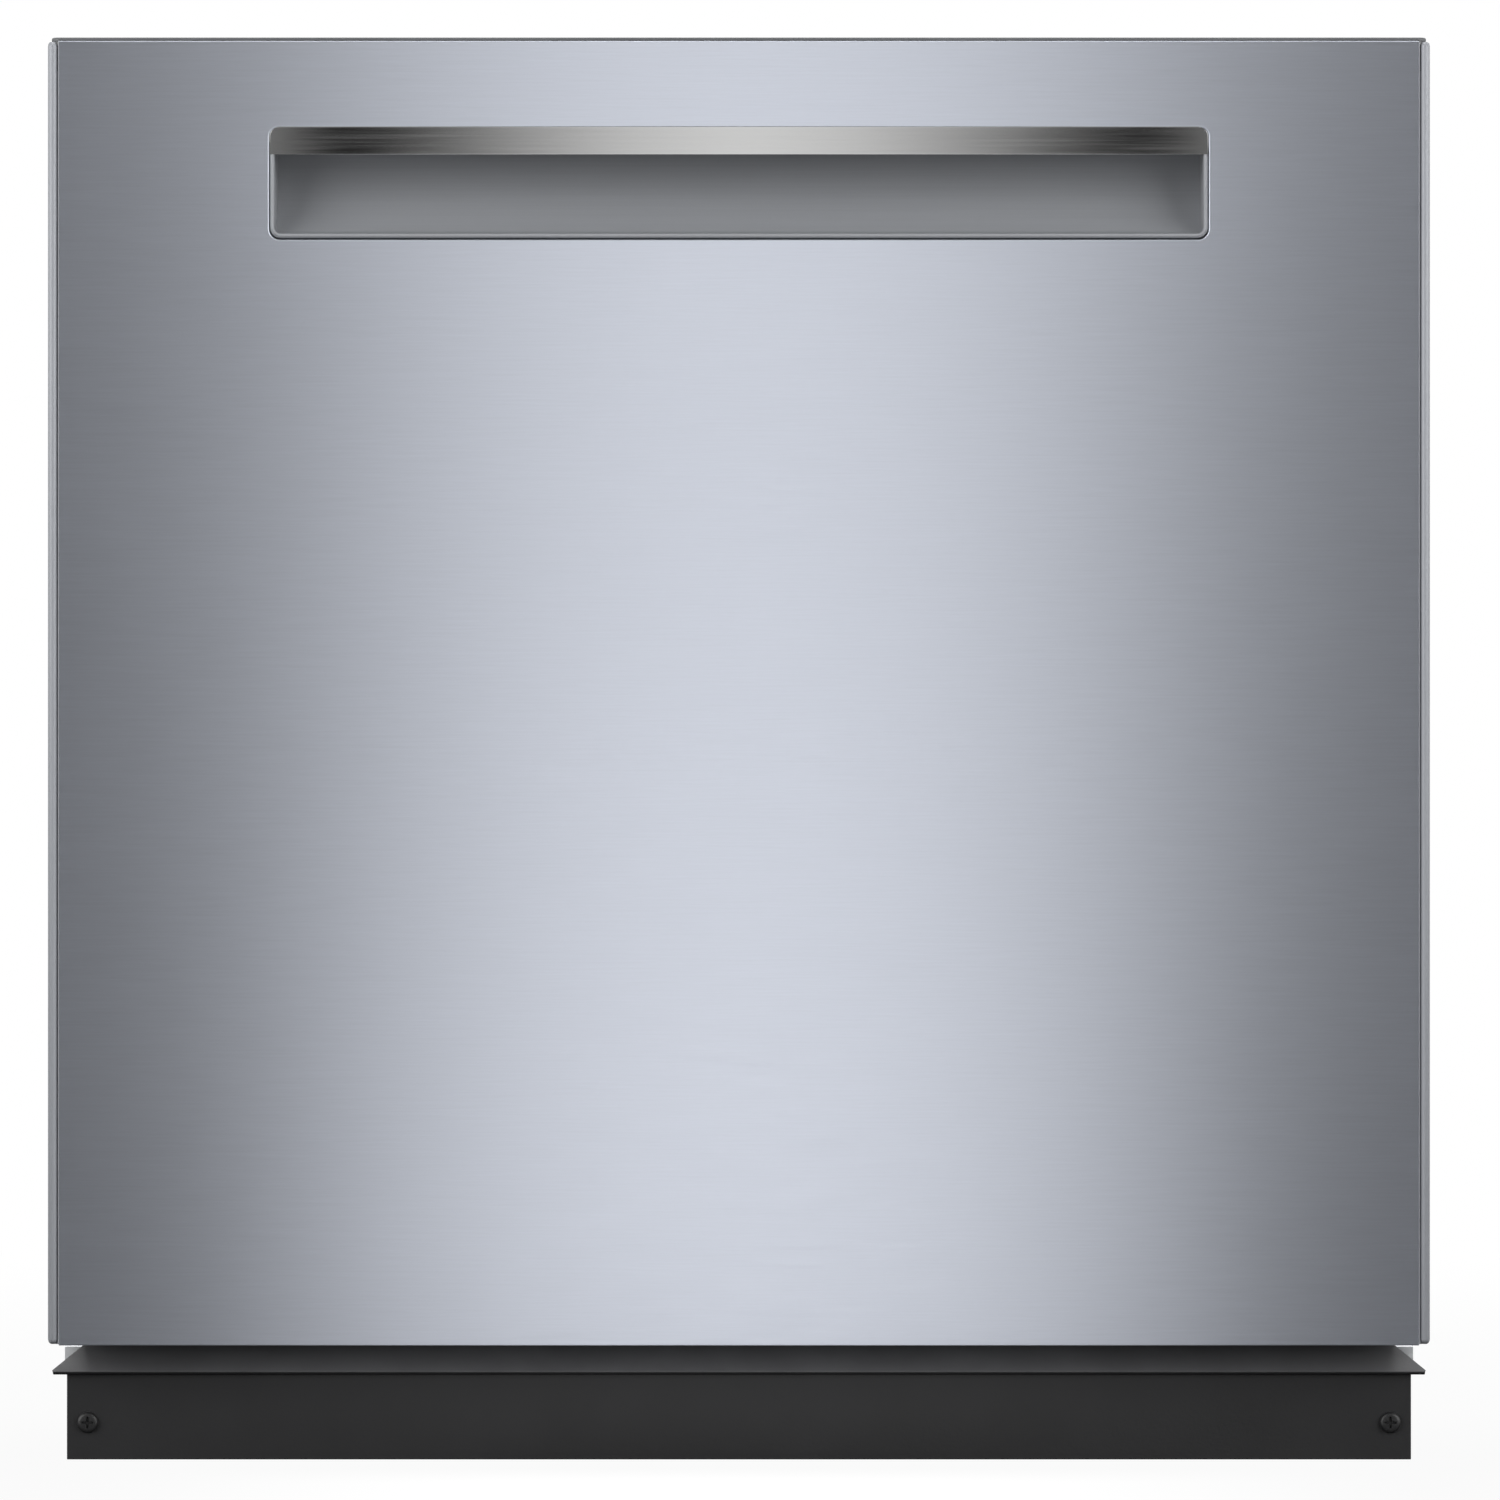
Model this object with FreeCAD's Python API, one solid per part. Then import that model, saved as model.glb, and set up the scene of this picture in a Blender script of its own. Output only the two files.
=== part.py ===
import FreeCAD
import Part
import math
import os

os.makedirs("parts", exist_ok=True)

V = FreeCAD.Vector

# ---------------------------------------------------------------------------
# Built-in dishwasher, 60 cm class, hidden controls, full-width pocket handle.
# Millimetres.  Origin on the floor under the middle of the machine, X to the
# right, Y to the back, Z up; the door faces -Y and hinges along its bottom.
# ---------------------------------------------------------------------------

# overall
WIDTH = 598.0
DEPTH = 573.0
HEIGHT = 618.0
FRONT = -DEPTH / 2
BACK = DEPTH / 2
SHEET = 1.0

# door
DOOR_BOTTOM = 52.0
PANEL_TOP = 616.3
PANEL_EDGE_R = 4.3
PANEL_RETURN_Y = -258.0
LINER_Y = -240.0
LINER_TOP = 603.0
LINER_HALF = 297.0
EMBOSS_Y = -236.0
EMBOSS_HALF = 260.0
EMBOSS_Z = (114.0, 580.0)
HINGE_Y = -272.0
HINGE_Z = 66.0
HINGE_PIN_R = 4.0
HINGE_BORE_R = 4.4

# handle pocket
POCKET_HALF = 203.0
POCKET_Z = (530.6, 579.2)
POCKET_R = 4.5
POCKET_BACK_Y = -253.5
LIP_Z = 567.3
LIP_BACK_Y = -281.5

# tub
TUB_HALF = 268.0
TUB_Y = (-232.0, 262.0)
TUB_Z = (104.0, 590.0)
TUB_CORNER = 24.0
FRAME_Y = -236.0
FRAME_HALF = 288.0
FRAME_Z = (88.0, 602.0)

# base
BASE_HALF = 286.0
BASE_Y = (-233.0, 283.0)
BASE_Z = (20.0, 96.0)

# wash system
HUB_Y = 15.0
SUMP_R = 118.0
FILTER_X = 46.0
FILTER_Y = -20.0
FILTER_R = 34.0
LOWER_ARM_R = 215.0
UPPER_ARM_R = 196.0

# racks
RACK_Y = (-205.0, 232.0)
WIRE_R = 1.9
RIM_R = 2.6
LOWER_HALF = 232.0
LOWER_FLOOR_Z = 164.0
LOWER_RIM_Z = 288.0
UPPER_HALF = 246.0
UPPER_FLOOR_Z = 456.0
UPPER_RIM_Z = 538.0
WHEEL_R = 22.0
WHEEL_Z = 128.0
WHEEL_X = 238.0
WHEEL_Y = (-95.0, 165.0)
RAIL_Z = 486.0

# feet
FOOT_X = 254.0
FOOT_Y = (-205.0, 250.0)
FOOT_PAD_R = 17.0
FOOT_STUD_R = 5.0


# ---------------------------------------------------------------------------
# small helpers
# ---------------------------------------------------------------------------

def box(x0, x1, y0, y1, z0, z1):
    return Part.makeBox(x1 - x0, y1 - y0, z1 - z0, V(x0, y0, z0))


def rod(start, end, radius):
    a = V(*start)
    b = V(*end)
    return Part.makeCylinder(radius, (b - a).Length, a, b - a)


def ring(centre, axis, outer, inner, length):
    body = Part.makeCylinder(outer, length, V(*centre), V(*axis))
    hole = Part.makeCylinder(inner, length, V(*centre), V(*axis))
    return body.cut(hole)


def face_of(points):
    vectors = [V(*p) for p in points]
    return Part.Face(Part.makePolygon(vectors + [vectors[0]]))


def prism_x(profile, x0, x1):
    """A (y, z) outline drawn out along X."""
    return face_of([(x0, y, z) for y, z in profile]).extrude(V(x1 - x0, 0, 0))


def prism_y(profile, y0, y1):
    """An (x, z) outline drawn out along Y."""
    return face_of([(x, y0, z) for x, z in profile]).extrude(V(0, y1 - y0, 0))


def prism_z(profile, z0, z1):
    """An (x, y) outline drawn out along Z."""
    return face_of([(x, y, z0) for x, y in profile]).extrude(V(0, 0, z1 - z0))


def fused(shapes):
    shape = shapes[0].fuse(shapes[1:]) if len(shapes) > 1 else shapes[0]
    return shape.removeSplitter()


def group(shapes):
    return Part.makeCompound(shapes)


def mirrored(shape):
    return shape.mirror(V(0, 0, 0), V(1, 0, 0))


def both_sides(shapes):
    return shapes + [mirrored(s) for s in shapes]


def spaced(first, last, count):
    return [first + (last - first) * i / (count - 1) for i in range(count)]


def upright_edges(shape, direction):
    axis = V(*direction)
    found = []
    for edge in shape.Edges:
        if len(edge.Vertexes) == 2:
            along = edge.Vertexes[1].Point - edge.Vertexes[0].Point
            if along.Length > 0 and abs(along.normalize().dot(axis)) > 0.999:
                found.append(edge)
    return found


def rounded(shape, radius, direction):
    return shape.makeFillet(radius, upright_edges(shape, direction))


def rounded_outline(half, z0, z1, corner, steps):
    """Closed (x, z) outline of a rectangle with faceted round corners."""
    corners = ((half, z1, 0), (-half, z1, 90), (-half, z0, 180), (half, z0, 270))
    points = []
    for cx, cz, turn in corners:
        mx = cx - math.copysign(corner, cx)
        mz = cz - (corner if cz == z1 else -corner)
        for i in range(steps + 1):
            angle = math.radians(turn + 90.0 * i / steps)
            points.append((mx + corner * math.cos(angle), mz + corner * math.sin(angle)))
    return points


def save(name, shape):
    shape.exportStep("parts/%s.step" % name)


# ---------------------------------------------------------------------------
# cabinet: tub, frame, insulation and outside sheets
# ---------------------------------------------------------------------------

def tub_shell():
    """Stainless wash tub: four walls with rounded corners, a back and wheel ledges."""
    inner = rounded_outline(TUB_HALF, TUB_Z[0], TUB_Z[1], TUB_CORNER, 4)
    outer = rounded_outline(TUB_HALF + SHEET, TUB_Z[0] - SHEET, TUB_Z[1] + SHEET,
                            TUB_CORNER + SHEET, 4)
    sump_hole = Part.makeCylinder(SUMP_R, 20, V(0, HUB_Y, TUB_Z[0] - 10))
    pieces = []
    for i in range(len(inner)):
        j = (i + 1) % len(inner)
        strip = prism_y([inner[i], inner[j], outer[j], outer[i]], TUB_Y[0], TUB_Y[1])
        centre = strip.BoundBox.Center
        if centre.z < TUB_Z[0] and abs(centre.x) < 1:
            strip = strip.cut(sump_hole)
        pieces.append(strip)
    pieces.append(prism_y(outer, TUB_Y[1], TUB_Y[1] + SHEET))
    ledge = box(228, 250, TUB_Y[0] + 4, TUB_Y[1] - 6, TUB_Z[0], TUB_Z[0] + 1.4)
    pieces += both_sides([ledge])
    return group(pieces)


def tub_front_frame():
    """Stainless frame around the tub mouth; four mitred bars."""
    x1 = FRAME_HALF
    x0 = TUB_HALF
    z0, z3 = FRAME_Z
    z1, z2 = TUB_Z
    bars = [prism_y([(-x1, z3), (x1, z3), (x0, z2), (-x0, z2)], FRAME_Y, TUB_Y[0]),
            prism_y([(-x1, z0), (x1, z0), (x0, z1), (-x0, z1)], FRAME_Y, TUB_Y[0]),
            prism_y([(x1, z0), (x1, z3), (x0, z2), (x0, z1)], FRAME_Y, TUB_Y[0]),
            prism_y([(-x1, z0), (-x1, z3), (-x0, z2), (-x0, z1)], FRAME_Y, TUB_Y[0])]
    return group(bars)


def tub_gasket():
    """Rubber door seal standing on the front frame, a loop of four bars."""
    x0, x1 = TUB_HALF + 2, TUB_HALF + 9
    z0, z1, z2, z3 = 92.0, 99.0, TUB_Z[1] + 1.5, TUB_Z[1] + 8.5
    y0 = FRAME_Y - 3.4
    bars = [prism_y([(-x1, z3), (x1, z3), (x0, z2), (-x0, z2)], y0, FRAME_Y),
            prism_y([(-x1, z0), (x1, z0), (x0, z1), (-x0, z1)], y0, FRAME_Y),
            prism_y([(x1, z0), (x1, z3), (x0, z2), (x0, z1)], y0, FRAME_Y),
            prism_y([(-x1, z0), (-x1, z3), (-x0, z2), (-x0, z1)], y0, FRAME_Y)]
    return group(bars)


def side_panels():
    """Galvanised side sheets with a folded top edge and two stiffening swages."""
    sheet = box(288, 289, -231, 283, 18, 600)
    fold = box(276, 288, -231, 283, 599, 600)
    swages = [box(289, 290, -180, 240, z, z + 26) for z in (170.0, 430.0)]
    return fused([sheet, fold] + swages), fused([mirrored(s) for s in [sheet, fold] + swages])


def back_panel():
    """Galvanised back sheet with a raised field and a lower service opening."""
    sheet = box(-287.8, 287.8, 283, 284, 100, 600)
    field = box(-230, 230, 284, 286, 150, 540)
    return fused([sheet, rounded(field, 1.2, (0, 1, 0))])


def top_sound_mat():
    """Bitumen sound-deadening mat over the tub top."""
    mat = box(-262, 262, -224, 256, TUB_Z[1] + SHEET + 0.4, 597.4)
    return rounded(mat, 14, (0, 0, 1))


def base_tray():
    """Moulded base: floor, walls, cross ribs, spring anchors and four foot sockets."""
    x1 = BASE_HALF
    y0, y1 = BASE_Y
    z0, z1 = BASE_Z
    front = box(-266, 266, y0, y0 + 3, z0, 86)
    rear = box(-x1, x1, y1 - 3, y1, z0, 36)
    side = box(x1 - 3, x1, -190, y1 - 3, z0, z1)
    floor = box(-x1 + 3, x1 - 3, -190, y1 - 3, z0, z0 + 3)
    nose = box(-240, 240, y0 + 3, -190, z0, z0 + 3)
    ribs = [box(-268, -135, y, y + 3, z0 + 3, 60) for y in (-150.0, 190.0)]
    ribs += [box(135, 268, y, y + 3, z0 + 3, 60) for y in (-150.0, 190.0)]
    anchor = box(272, 281, -83.8, -78, z0 + 3, 54)
    pieces = [front, rear, floor, nose] + both_sides([side, anchor]) + ribs
    for x in (-FOOT_X, FOOT_X):
        for y in FOOT_Y:
            for piece in list(pieces):
                if piece.BoundBox.isInside(V(x, y, z0 + 1)):
                    hole = Part.makeCylinder(13, 20, V(x, y, z0 - 5))
                    pieces[pieces.index(piece)] = piece.cut(hole)
            pieces.append(ring((x, y, 14), (0, 0, 1), 13, FOOT_STUD_R + 0.5, 56))
            if y < 0:
                pieces.append(box(x - 13, x + 13, y + 13.2, y + 15, 23, 60))
    return group(pieces)


def toe_kick():
    """Black kick plate with a slanting, roof-like flange under the door."""
    plate = box(-291, 291, -257.5, -256, 0.5, 39)
    outline = ((-262, 39.0), (-248.8, 50.9), (-248.0, 50.0), (-260.6, 38.6))
    slope = prism_x(outline, -298.5, 298.5)
    trim = prism_y([(298.6, 38), (298.6, 52), (283.5, 52), (298.5, 39.5)], -265, -245)
    for cutter in both_sides([trim]):
        slope = slope.cut(cutter)
    sill = box(-290, 290, -260.6, -256, 37.6, 39)
    web = [box(x - 1, x + 1, -256, -234, 12, 36) for x in (-180.0, 0.0, 180.0)]
    return fused([plate, slope, sill] + web)


def toe_kick_screws():
    """Two pan-head screws with a cross slot."""
    screws = []
    for x in (-283.7, 283.7):
        head = Part.makeCylinder(4.6, 2.2, V(x, -257.6, 16.7), V(0, -1, 0))
        head = head.makeFillet(1.2, [e for e in head.Edges if e.CenterOfMass.y < -259.5
                                     and len(e.Vertexes) == 1])
        slot = box(x - 2.6, x + 2.6, -260, -258.8, 16.2, 17.2)
        cross = box(x - 0.5, x + 0.5, -260, -258.8, 14.1, 19.3)
        shank = Part.makeCylinder(1.9, 9, V(x, -255.9, 16.7), V(0, 1, 0))
        screws += [head.cut(slot).cut(cross), shank]
    return group(screws)


def hinge_brackets():
    """Galvanised brackets that carry the door pivots, one each side."""
    outline = ((-8, 2), (-8, -3), (-4, -7.5), (8, -8), (20, -11), (32, -17), (40, -24),
               (72, -26), (72, 24), (52, 24), (20, 10), (4, 9), (-3, 8))
    plate = prism_x([(HINGE_Y + y, HINGE_Z + z) for y, z in outline], 284.2, 286.6)
    pin = rod((279.6, HINGE_Y, HINGE_Z), (284.2, HINGE_Y, HINGE_Z), HINGE_PIN_R)
    nose = prism_x([(-247.4, 42.6), (-247.4, 49), (-245, 50.4), (-236, 50.4), (-236, 42.6)],
                   286.6, 294.4)
    foot = box(268, 284.2, -214, -200, 40, 42)
    bracket = fused([plate, pin, nose, foot])
    return group([bracket, mirrored(bracket)])


def countertop_brackets():
    """Two steel tabs on the top front edge that screw up into the worktop."""
    tab = box(232, 268, -232, -184, 602, 603.6)
    riser = box(232, 268, -231.4, -229.8, 598, 602)
    for y in (-215.0, -195.0):
        tab = tab.cut(Part.makeCylinder(2.5, 6, V(250, y, 600)))
    return group(both_sides([fused([tab, riser])]))


def latch_strike():
    """Tongue on the tub frame that the door catch grips."""
    tongue = box(-14, 14, -252, FRAME_Y, 599.2, 601.6)
    window = box(-8.5, 8.5, -250.4, -242, 598, 603)
    plate = box(-30, 30, FRAME_Y - 1.2, FRAME_Y, 598.9, 601.9)
    return fused([tongue.cut(window), plate])


# ---------------------------------------------------------------------------
# cabinet: water system under and behind the tub
# ---------------------------------------------------------------------------

def sump_bowl():
    """Moulded sump: tapered bowl, filter well, clamped ring and arm support."""
    z_top = TUB_Z[0] - SHEET
    outline = [(0, 44), (84, 44), (100, 54), (112, 74), (112, z_top - 2), (126, z_top - 2),
               (126, z_top - 0.1), (109.5, z_top - 0.1), (109.5, 74.6), (98.2, 56),
               (83.2, 46.5), (0, 46.5)]
    wire = Part.makePolygon([V(x, 0, z) for x, z in outline + outline[:1]])
    bowl = Part.Face(wire).revolve(V(0, 0, 0), V(0, 0, 1), 360)
    bowl.translate(V(0, HUB_Y, 0))
    post = ring((0, HUB_Y, 46), (0, 0, 1), 20, 16, 66)
    return group([bowl, post])


def fine_filter_plate():
    """Stainless fine-filter plate lying in the sump mouth."""
    plate = Part.makeCylinder(SUMP_R - 9.5, 1.2, V(0, HUB_Y, TUB_Z[0] - 3))
    well = Part.makeCylinder(FILTER_R + 1.5, 4, V(FILTER_X, FILTER_Y, TUB_Z[0] - 4))
    hub = Part.makeCylinder(20.4, 4, V(0, HUB_Y, TUB_Z[0] - 4))
    return plate.cut(well).cut(hub)


def circulation_pump():
    """Circulation pump: motor can, volute, connecting pipe and rubber stand."""
    motor = rod((-250, 60, 60), (-168, 60, 60), 32)
    cap = rod((-258, 60, 60), (-250, 60, 60), 22)
    volute = rod((-168, 60, 60), (-136, 60, 60), 35)
    pipe = rod((-136, 60, 60), (-119, 52, 60), 11)
    stand = box(-236, -176, 40, 80, 23, 30)
    return group([motor, cap, volute, pipe, stand])


def drain_pump():
    """Drain pump and the hose spigot that leaves at the back."""
    motor = rod((150, 70, 52), (196, 70, 52), 24)
    chamber = rod((128, 70, 52), (150, 70, 52), 27)
    pipe = rod((114, 58, 52), (128, 66, 52), 10)
    riser = rod((139, 70, 76), (139, 70, 84), 8.5)
    run = rod((139, 62, 78), (139, 262, 78), 8.5)
    spigot = ring((139, 262, 78), (0, 1, 0), 9.5, 7.5, 24.5)
    return group([motor, chamber, pipe, riser, run, spigot])


def inlet_valve():
    """Water inlet valve: threaded spigot, body and solenoid."""
    spigot = ring((-210, 262, 58), (0, 1, 0), 13.2, 8, 24.5)
    collar = rod((-210, 258, 58), (-210, 262, 58), 17)
    body = box(-228, -192, 222, 258, 44, 72)
    coil = rod((-210, 238, 72), (-210, 238, 94), 13)
    outlet = rod((-210, 208.4, 58), (-210, 222, 58), 7)
    return group([spigot, collar, rounded(body, 4, (0, 0, 1)), coil, outlet])


def junction_box():
    """Mains connection box with a cable entry in its back wall."""
    case = rounded(box(154, 234, 214, 280, 26, 84), 4, (0, 0, 1))
    hollow = box(156.5, 231.5, 216.5, 277.5, 28.5, 81.5)
    entry = Part.makeCylinder(11.1, 12, V(194, 274, 55), V(0, 1, 0))
    cover = rounded(box(152.5, 235.5, 212.5, 279.6, 84, 86), 4, (0, 0, 1))
    return group([case.cut(hollow).cut(entry), cover])


def water_conduit():
    """Rear riser that feeds the upper arm and the ceiling sprinkler."""
    riser = rounded(box(-19, 19, 247, 261.6, 106, 574), 5, (0, 0, 1))
    across = rounded(box(-13, 13, HUB_Y, 261.6, 577, 589.4), 3.5, (0, 1, 0))
    dock = rod((0, 238, 444), (0, 247, 444), 15)
    elbow = box(-15, 15, 249, 261.6, 574, 577)
    foot = box(-23, 23, 190, 247, 105, 113)
    return group([riser, across, elbow, dock, rounded(foot, 3, (0, 0, 1))])


def ceiling_sprinkler():
    """Small fixed spray head under the tub ceiling."""
    dome = Part.makeCone(17, 27, 7, V(0, HUB_Y, 569.5))
    for i in range(6):
        angle = math.radians(60 * i)
        x, y = 17 * math.cos(angle), 17 * math.sin(angle)
        dome = dome.cut(Part.makeCylinder(1.6, 12, V(x, HUB_Y + y, 566)))
    return dome


def fixed_rails():
    """Channel rails riveted to the tub walls for the upper rack."""
    pieces = []
    for z in (RAIL_Z - 10, RAIL_Z + 8.5):
        pieces.append(box(260.5, 266.4, -215, 236, z, z + 1.5))
    pieces.append(box(266.4, 268, -215, 236, RAIL_Z - 10, RAIL_Z + 10))
    pieces.append(box(259.5, 266.4, 236, 240, RAIL_Z - 10, RAIL_Z + 10))
    return group(both_sides(pieces))


def door_springs():
    """Counterbalance springs from the base to the hinge arms."""
    spring = rod((276.4, -221, 58), (276.4, -96, 48), 5.2)
    front = rod((276.4, -237, 59.4), (276.4, -221, 58), 1.6)
    back = rod((276.4, -96, 48), (276.4, -84, 47), 1.6)
    return group(both_sides([fused([spring, front, back])]))


# ---------------------------------------------------------------------------
# door
# ---------------------------------------------------------------------------

def rounded_slot(half, z0, z1, y0, y1, corner):
    return rounded(box(-half, half, y0, y1, z0, z1), corner, (0, 1, 0))


def door_outer_panel():
    """Stainless front pan with rounded upright edges and the handle cut-out."""
    half = WIDTH / 2
    outer = box(-half, half, FRONT, PANEL_RETURN_Y, DOOR_BOTTOM, PANEL_TOP)
    fronts = [e for e in upright_edges(outer, (0, 0, 1)) if e.CenterOfMass.y < FRONT + 1]
    outer = outer.makeFillet(PANEL_EDGE_R, fronts)
    inner = box(-half + SHEET, half - SHEET, FRONT + SHEET, PANEL_RETURN_Y + 5,
                DOOR_BOTTOM + SHEET, PANEL_TOP + 5)
    fronts = [e for e in upright_edges(inner, (0, 0, 1)) if e.CenterOfMass.y < FRONT + 3]
    inner = inner.makeFillet(PANEL_EDGE_R - SHEET, fronts)
    panel = outer.cut(inner)
    hole = rounded_slot(POCKET_HALF + 0.1, POCKET_Z[0] - 0.1, POCKET_Z[1] + 0.1,
                        FRONT - 2, FRONT + 4, POCKET_R)
    panel = panel.cut(hole)
    for x0, x1 in ((277.5, 298), (-298, -277.5)):
        panel = panel.cut(box(x0, x1, FRONT + SHEET, PANEL_RETURN_Y + 1,
                              DOOR_BOTTOM - 1, DOOR_BOTTOM + SHEET + 0.5))
    return panel


def scoop_outline(y_front, z_front, y_mid, z_mid, y_back, z_turn, z_top, x):
    """Side outline of the finger scoop: a floor that curves up into the back wall."""
    a = V(x, y_front, z_front)
    m = V(x, y_mid, z_mid)
    b = V(x, y_back, z_turn)
    c = V(x, y_back, z_top)
    d = V(x, y_front, z_top)
    edges = [Part.Arc(a, m, b).toShape(), Part.makeLine(b, c), Part.makeLine(c, d),
             Part.makeLine(d, a)]
    return Part.Face(Part.Wire(edges))


def handle_pocket():
    """Formed stainless pocket behind the front sheet."""
    z0, z1 = POCKET_Z
    half = POCKET_HALF
    outer = scoop_outline(FRONT + 0.2, z0, -262.6, z0 + 9.2, POCKET_BACK_Y, z0 + 29,
                          z1, -half).extrude(V(2 * half, 0, 0))
    inner = scoop_outline(FRONT + 0.1, z0 + 2.6, -264, z0 + 11, POCKET_BACK_Y - 1.5,
                          z0 + 29.8, z1 - 1.6, -half + 3).extrude(V(2 * half - 6, 0, 0))
    mask = rounded_slot(half, z0, z1, FRONT - 1, BACK, POCKET_R)
    lip_seat = box(-half - 1, half + 1, FRONT - 1, LIP_BACK_Y + 0.1, LIP_Z - 0.1, z1 + 1)
    return outer.common(mask).cut(inner).cut(lip_seat)


def handle_grip_lip():
    """Polished bar across the top of the pocket that the fingers pull on."""
    bar = box(-POCKET_HALF, POCKET_HALF, FRONT + 0.1, LIP_BACK_Y, LIP_Z, POCKET_Z[1])
    lower = [e for e in upright_edges(bar, (1, 0, 0)) if e.CenterOfMass.z < LIP_Z + 1]
    bar = bar.makeFillet(1.6, lower)
    return bar.common(rounded_slot(POCKET_HALF, POCKET_Z[0], POCKET_Z[1], FRONT - 1, -270,
                                   POCKET_R))


def door_inner_liner():
    """Stainless inner door: folded tray with a raised centre field."""
    half = LINER_HALF
    tray = box(-half, half, PANEL_RETURN_Y + 0.1, LINER_Y, DOOR_BOTTOM + 1.2, LINER_TOP)
    hollow = box(-half + 0.8, half - 0.8, PANEL_RETURN_Y, LINER_Y - 0.8,
                 DOOR_BOTTOM + 2, LINER_TOP - 0.8)
    field = box(-EMBOSS_HALF, EMBOSS_HALF, LINER_Y - 0.8, EMBOSS_Y, EMBOSS_Z[0], EMBOSS_Z[1])
    field = rounded(field, 20, (0, 1, 0))
    inside = box(-EMBOSS_HALF + 0.8, EMBOSS_HALF - 0.8, LINER_Y - 2, EMBOSS_Y - 0.8,
                 EMBOSS_Z[0] + 0.8, EMBOSS_Z[1] - 0.8)
    inside = rounded(inside, 19, (0, 1, 0))
    liner = tray.cut(hollow).fuse(field).cut(inside)
    window = rounded(box(-100, 60, -262, -230, 305, 400), 6, (0, 1, 0))
    liner = liner.cut(window)
    liner = liner.cut(box(-20, 20, -260, -230, 593, 604))
    for x0, x1 in ((278, 300), (-300, -278)):
        liner = liner.cut(box(x0, x1, -262, -235, 50, 108))
    chamfer = prism_x([(-250, 50), (-239, 50), (-239, 66)], -300, 300)
    return liner.cut(chamfer)


def control_strip():
    """Black control fascia along the top edge of the door."""
    strip = box(-297.4, 297.4, FRONT + 1.2, -241, 603.2, 617.4)
    fronts = [e for e in upright_edges(strip, (0, 0, 1)) if e.CenterOfMass.y < FRONT + 3]
    strip = strip.makeFillet(4.2, fronts)
    hollow = box(-294.4, 294.4, FRONT + 4, -244, 602, 614.4)
    window = box(-46.2, 46.2, -273.2, -252.8, 616.2, 618)
    strip = strip.cut(hollow).cut(window)
    for x in BUTTON_X:
        strip = strip.cut(rounded(box(x - 10, x + 10, -268.5, -257.5, 610, 620), 3, (0, 0, 1)))
    return strip.cut(box(-20, 20, -248, -240, 602, 606))


BUTTON_X = [-250.0, -150.0, -110.0, 110.0, 250.0]
BUTTON_NAMES = ["power", "programme", "half_load", "drying", "start"]


def button(x):
    """Push button: cap above the fascia, skirt, stem and retaining flange."""
    cap = rounded(box(x - 9.6, x + 9.6, -268.1, -257.9, 614.4, HEIGHT), 2.6, (0, 0, 1))
    flange = box(x - 11.5, x + 11.5, -270, -256, 611.8, 613.0)
    stem = Part.makeCylinder(3, 2, V(x, -263, 613))
    link = rounded(box(x - 9.6, x + 9.6, -268.1, -257.9, 613, 614.4), 2.6, (0, 0, 1))
    return fused([cap, link, stem, flange])


def display_window():
    """Dark lens set flush in the fascia."""
    return rounded(box(-46, 46, -273, -253, 616.2, 617.3), 2, (0, 0, 1))


def control_module():
    """Electronics case hung under the fascia, with ribs and a connector block."""
    case = box(-150, 150, -280, -259, 583, 600)
    ribs = [box(x, x + 2, -282, -280, 585, 598) for x in spaced(-140, 138, 9)]
    plug = box(-150, -110, -259, -252, 586, 597)
    return group([case, plug] + ribs)


def dispenser_body():
    """Detergent and rinse-aid dispenser sunk in the inner door."""
    body = rounded(box(-99.8, 59.8, -261.5, LINER_Y, 305.2, 399.8), 5.8, (0, 1, 0))
    rim = rounded(box(-104, 64, EMBOSS_Y, -234.4, 301, 404), 8, (0, 1, 0))
    body = body.fuse(rounded(box(-99.8, 59.8, LINER_Y, EMBOSS_Y, 305.2, 399.8), 5.8,
                             (0, 1, 0))).fuse(rim)
    tank = rounded(box(-93, -19, -258, -230, 315, 391), 8, (0, 1, 0))
    body = body.cut(tank)
    body = body.cut(Part.makeCylinder(15, 24, V(22, -256, 352), V(0, 1, 0)))
    rail = ring((22, -234.4, 352), (0, 1, 0), 21, 19, 1.6)
    ear = box(-102, -99, -234.4, -229, 303, 309.5)
    ear2 = box(-13, -10, -234.4, -229, 303, 309.5)
    return group([body.removeSplitter(), rail, ear, ear2])


def dispenser_lid():
    """Flip lid of the detergent chamber, hinged along its lower edge."""
    lid = rounded(box(-97, -15, -233.8, -231.2, 309, 395), 6, (0, 1, 0))
    knuckle = rod((-98.5, -231.6, 306.4), (-13.5, -231.6, 306.4), 2.4)
    strap = [box(x, x + 12, -233.4, -231.4, 306.4, 312) for x in (-90.0, -34.0)]
    tab = box(-62, -50, -231.2, -229.2, 384, 393)
    return fused([lid, knuckle, tab] + strap)


def rinse_aid_cap():
    """Screw cap of the rinse-aid tank with a grip bar."""
    disc = Part.makeCylinder(18.4, 3.2, V(22, -234, 352), V(0, 1, 0))
    plug = Part.makeCylinder(14.4, 14, V(22, -248, 352), V(0, 1, 0))
    grip = box(19, 25, -230.8, -227.4, 337, 367)
    return fused([disc, plug, grip])


def latch_pawl():
    """Sprung catch lever with a roller, pivoted inside the top of the door."""
    lever = prism_x([(-256, 588), (-253, 586), (-243.6, 592.4), (-243.6, 596), (-247, 596),
                     (-256, 592)], -7, 7)
    roller = rod((-7, -245.6, 596.1), (7, -245.6, 596.1), 1.9)
    hub = rod((-9, -254.6, 589), (9, -254.6, 589), 2.6)
    return fused([lever, roller, hub])


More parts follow.
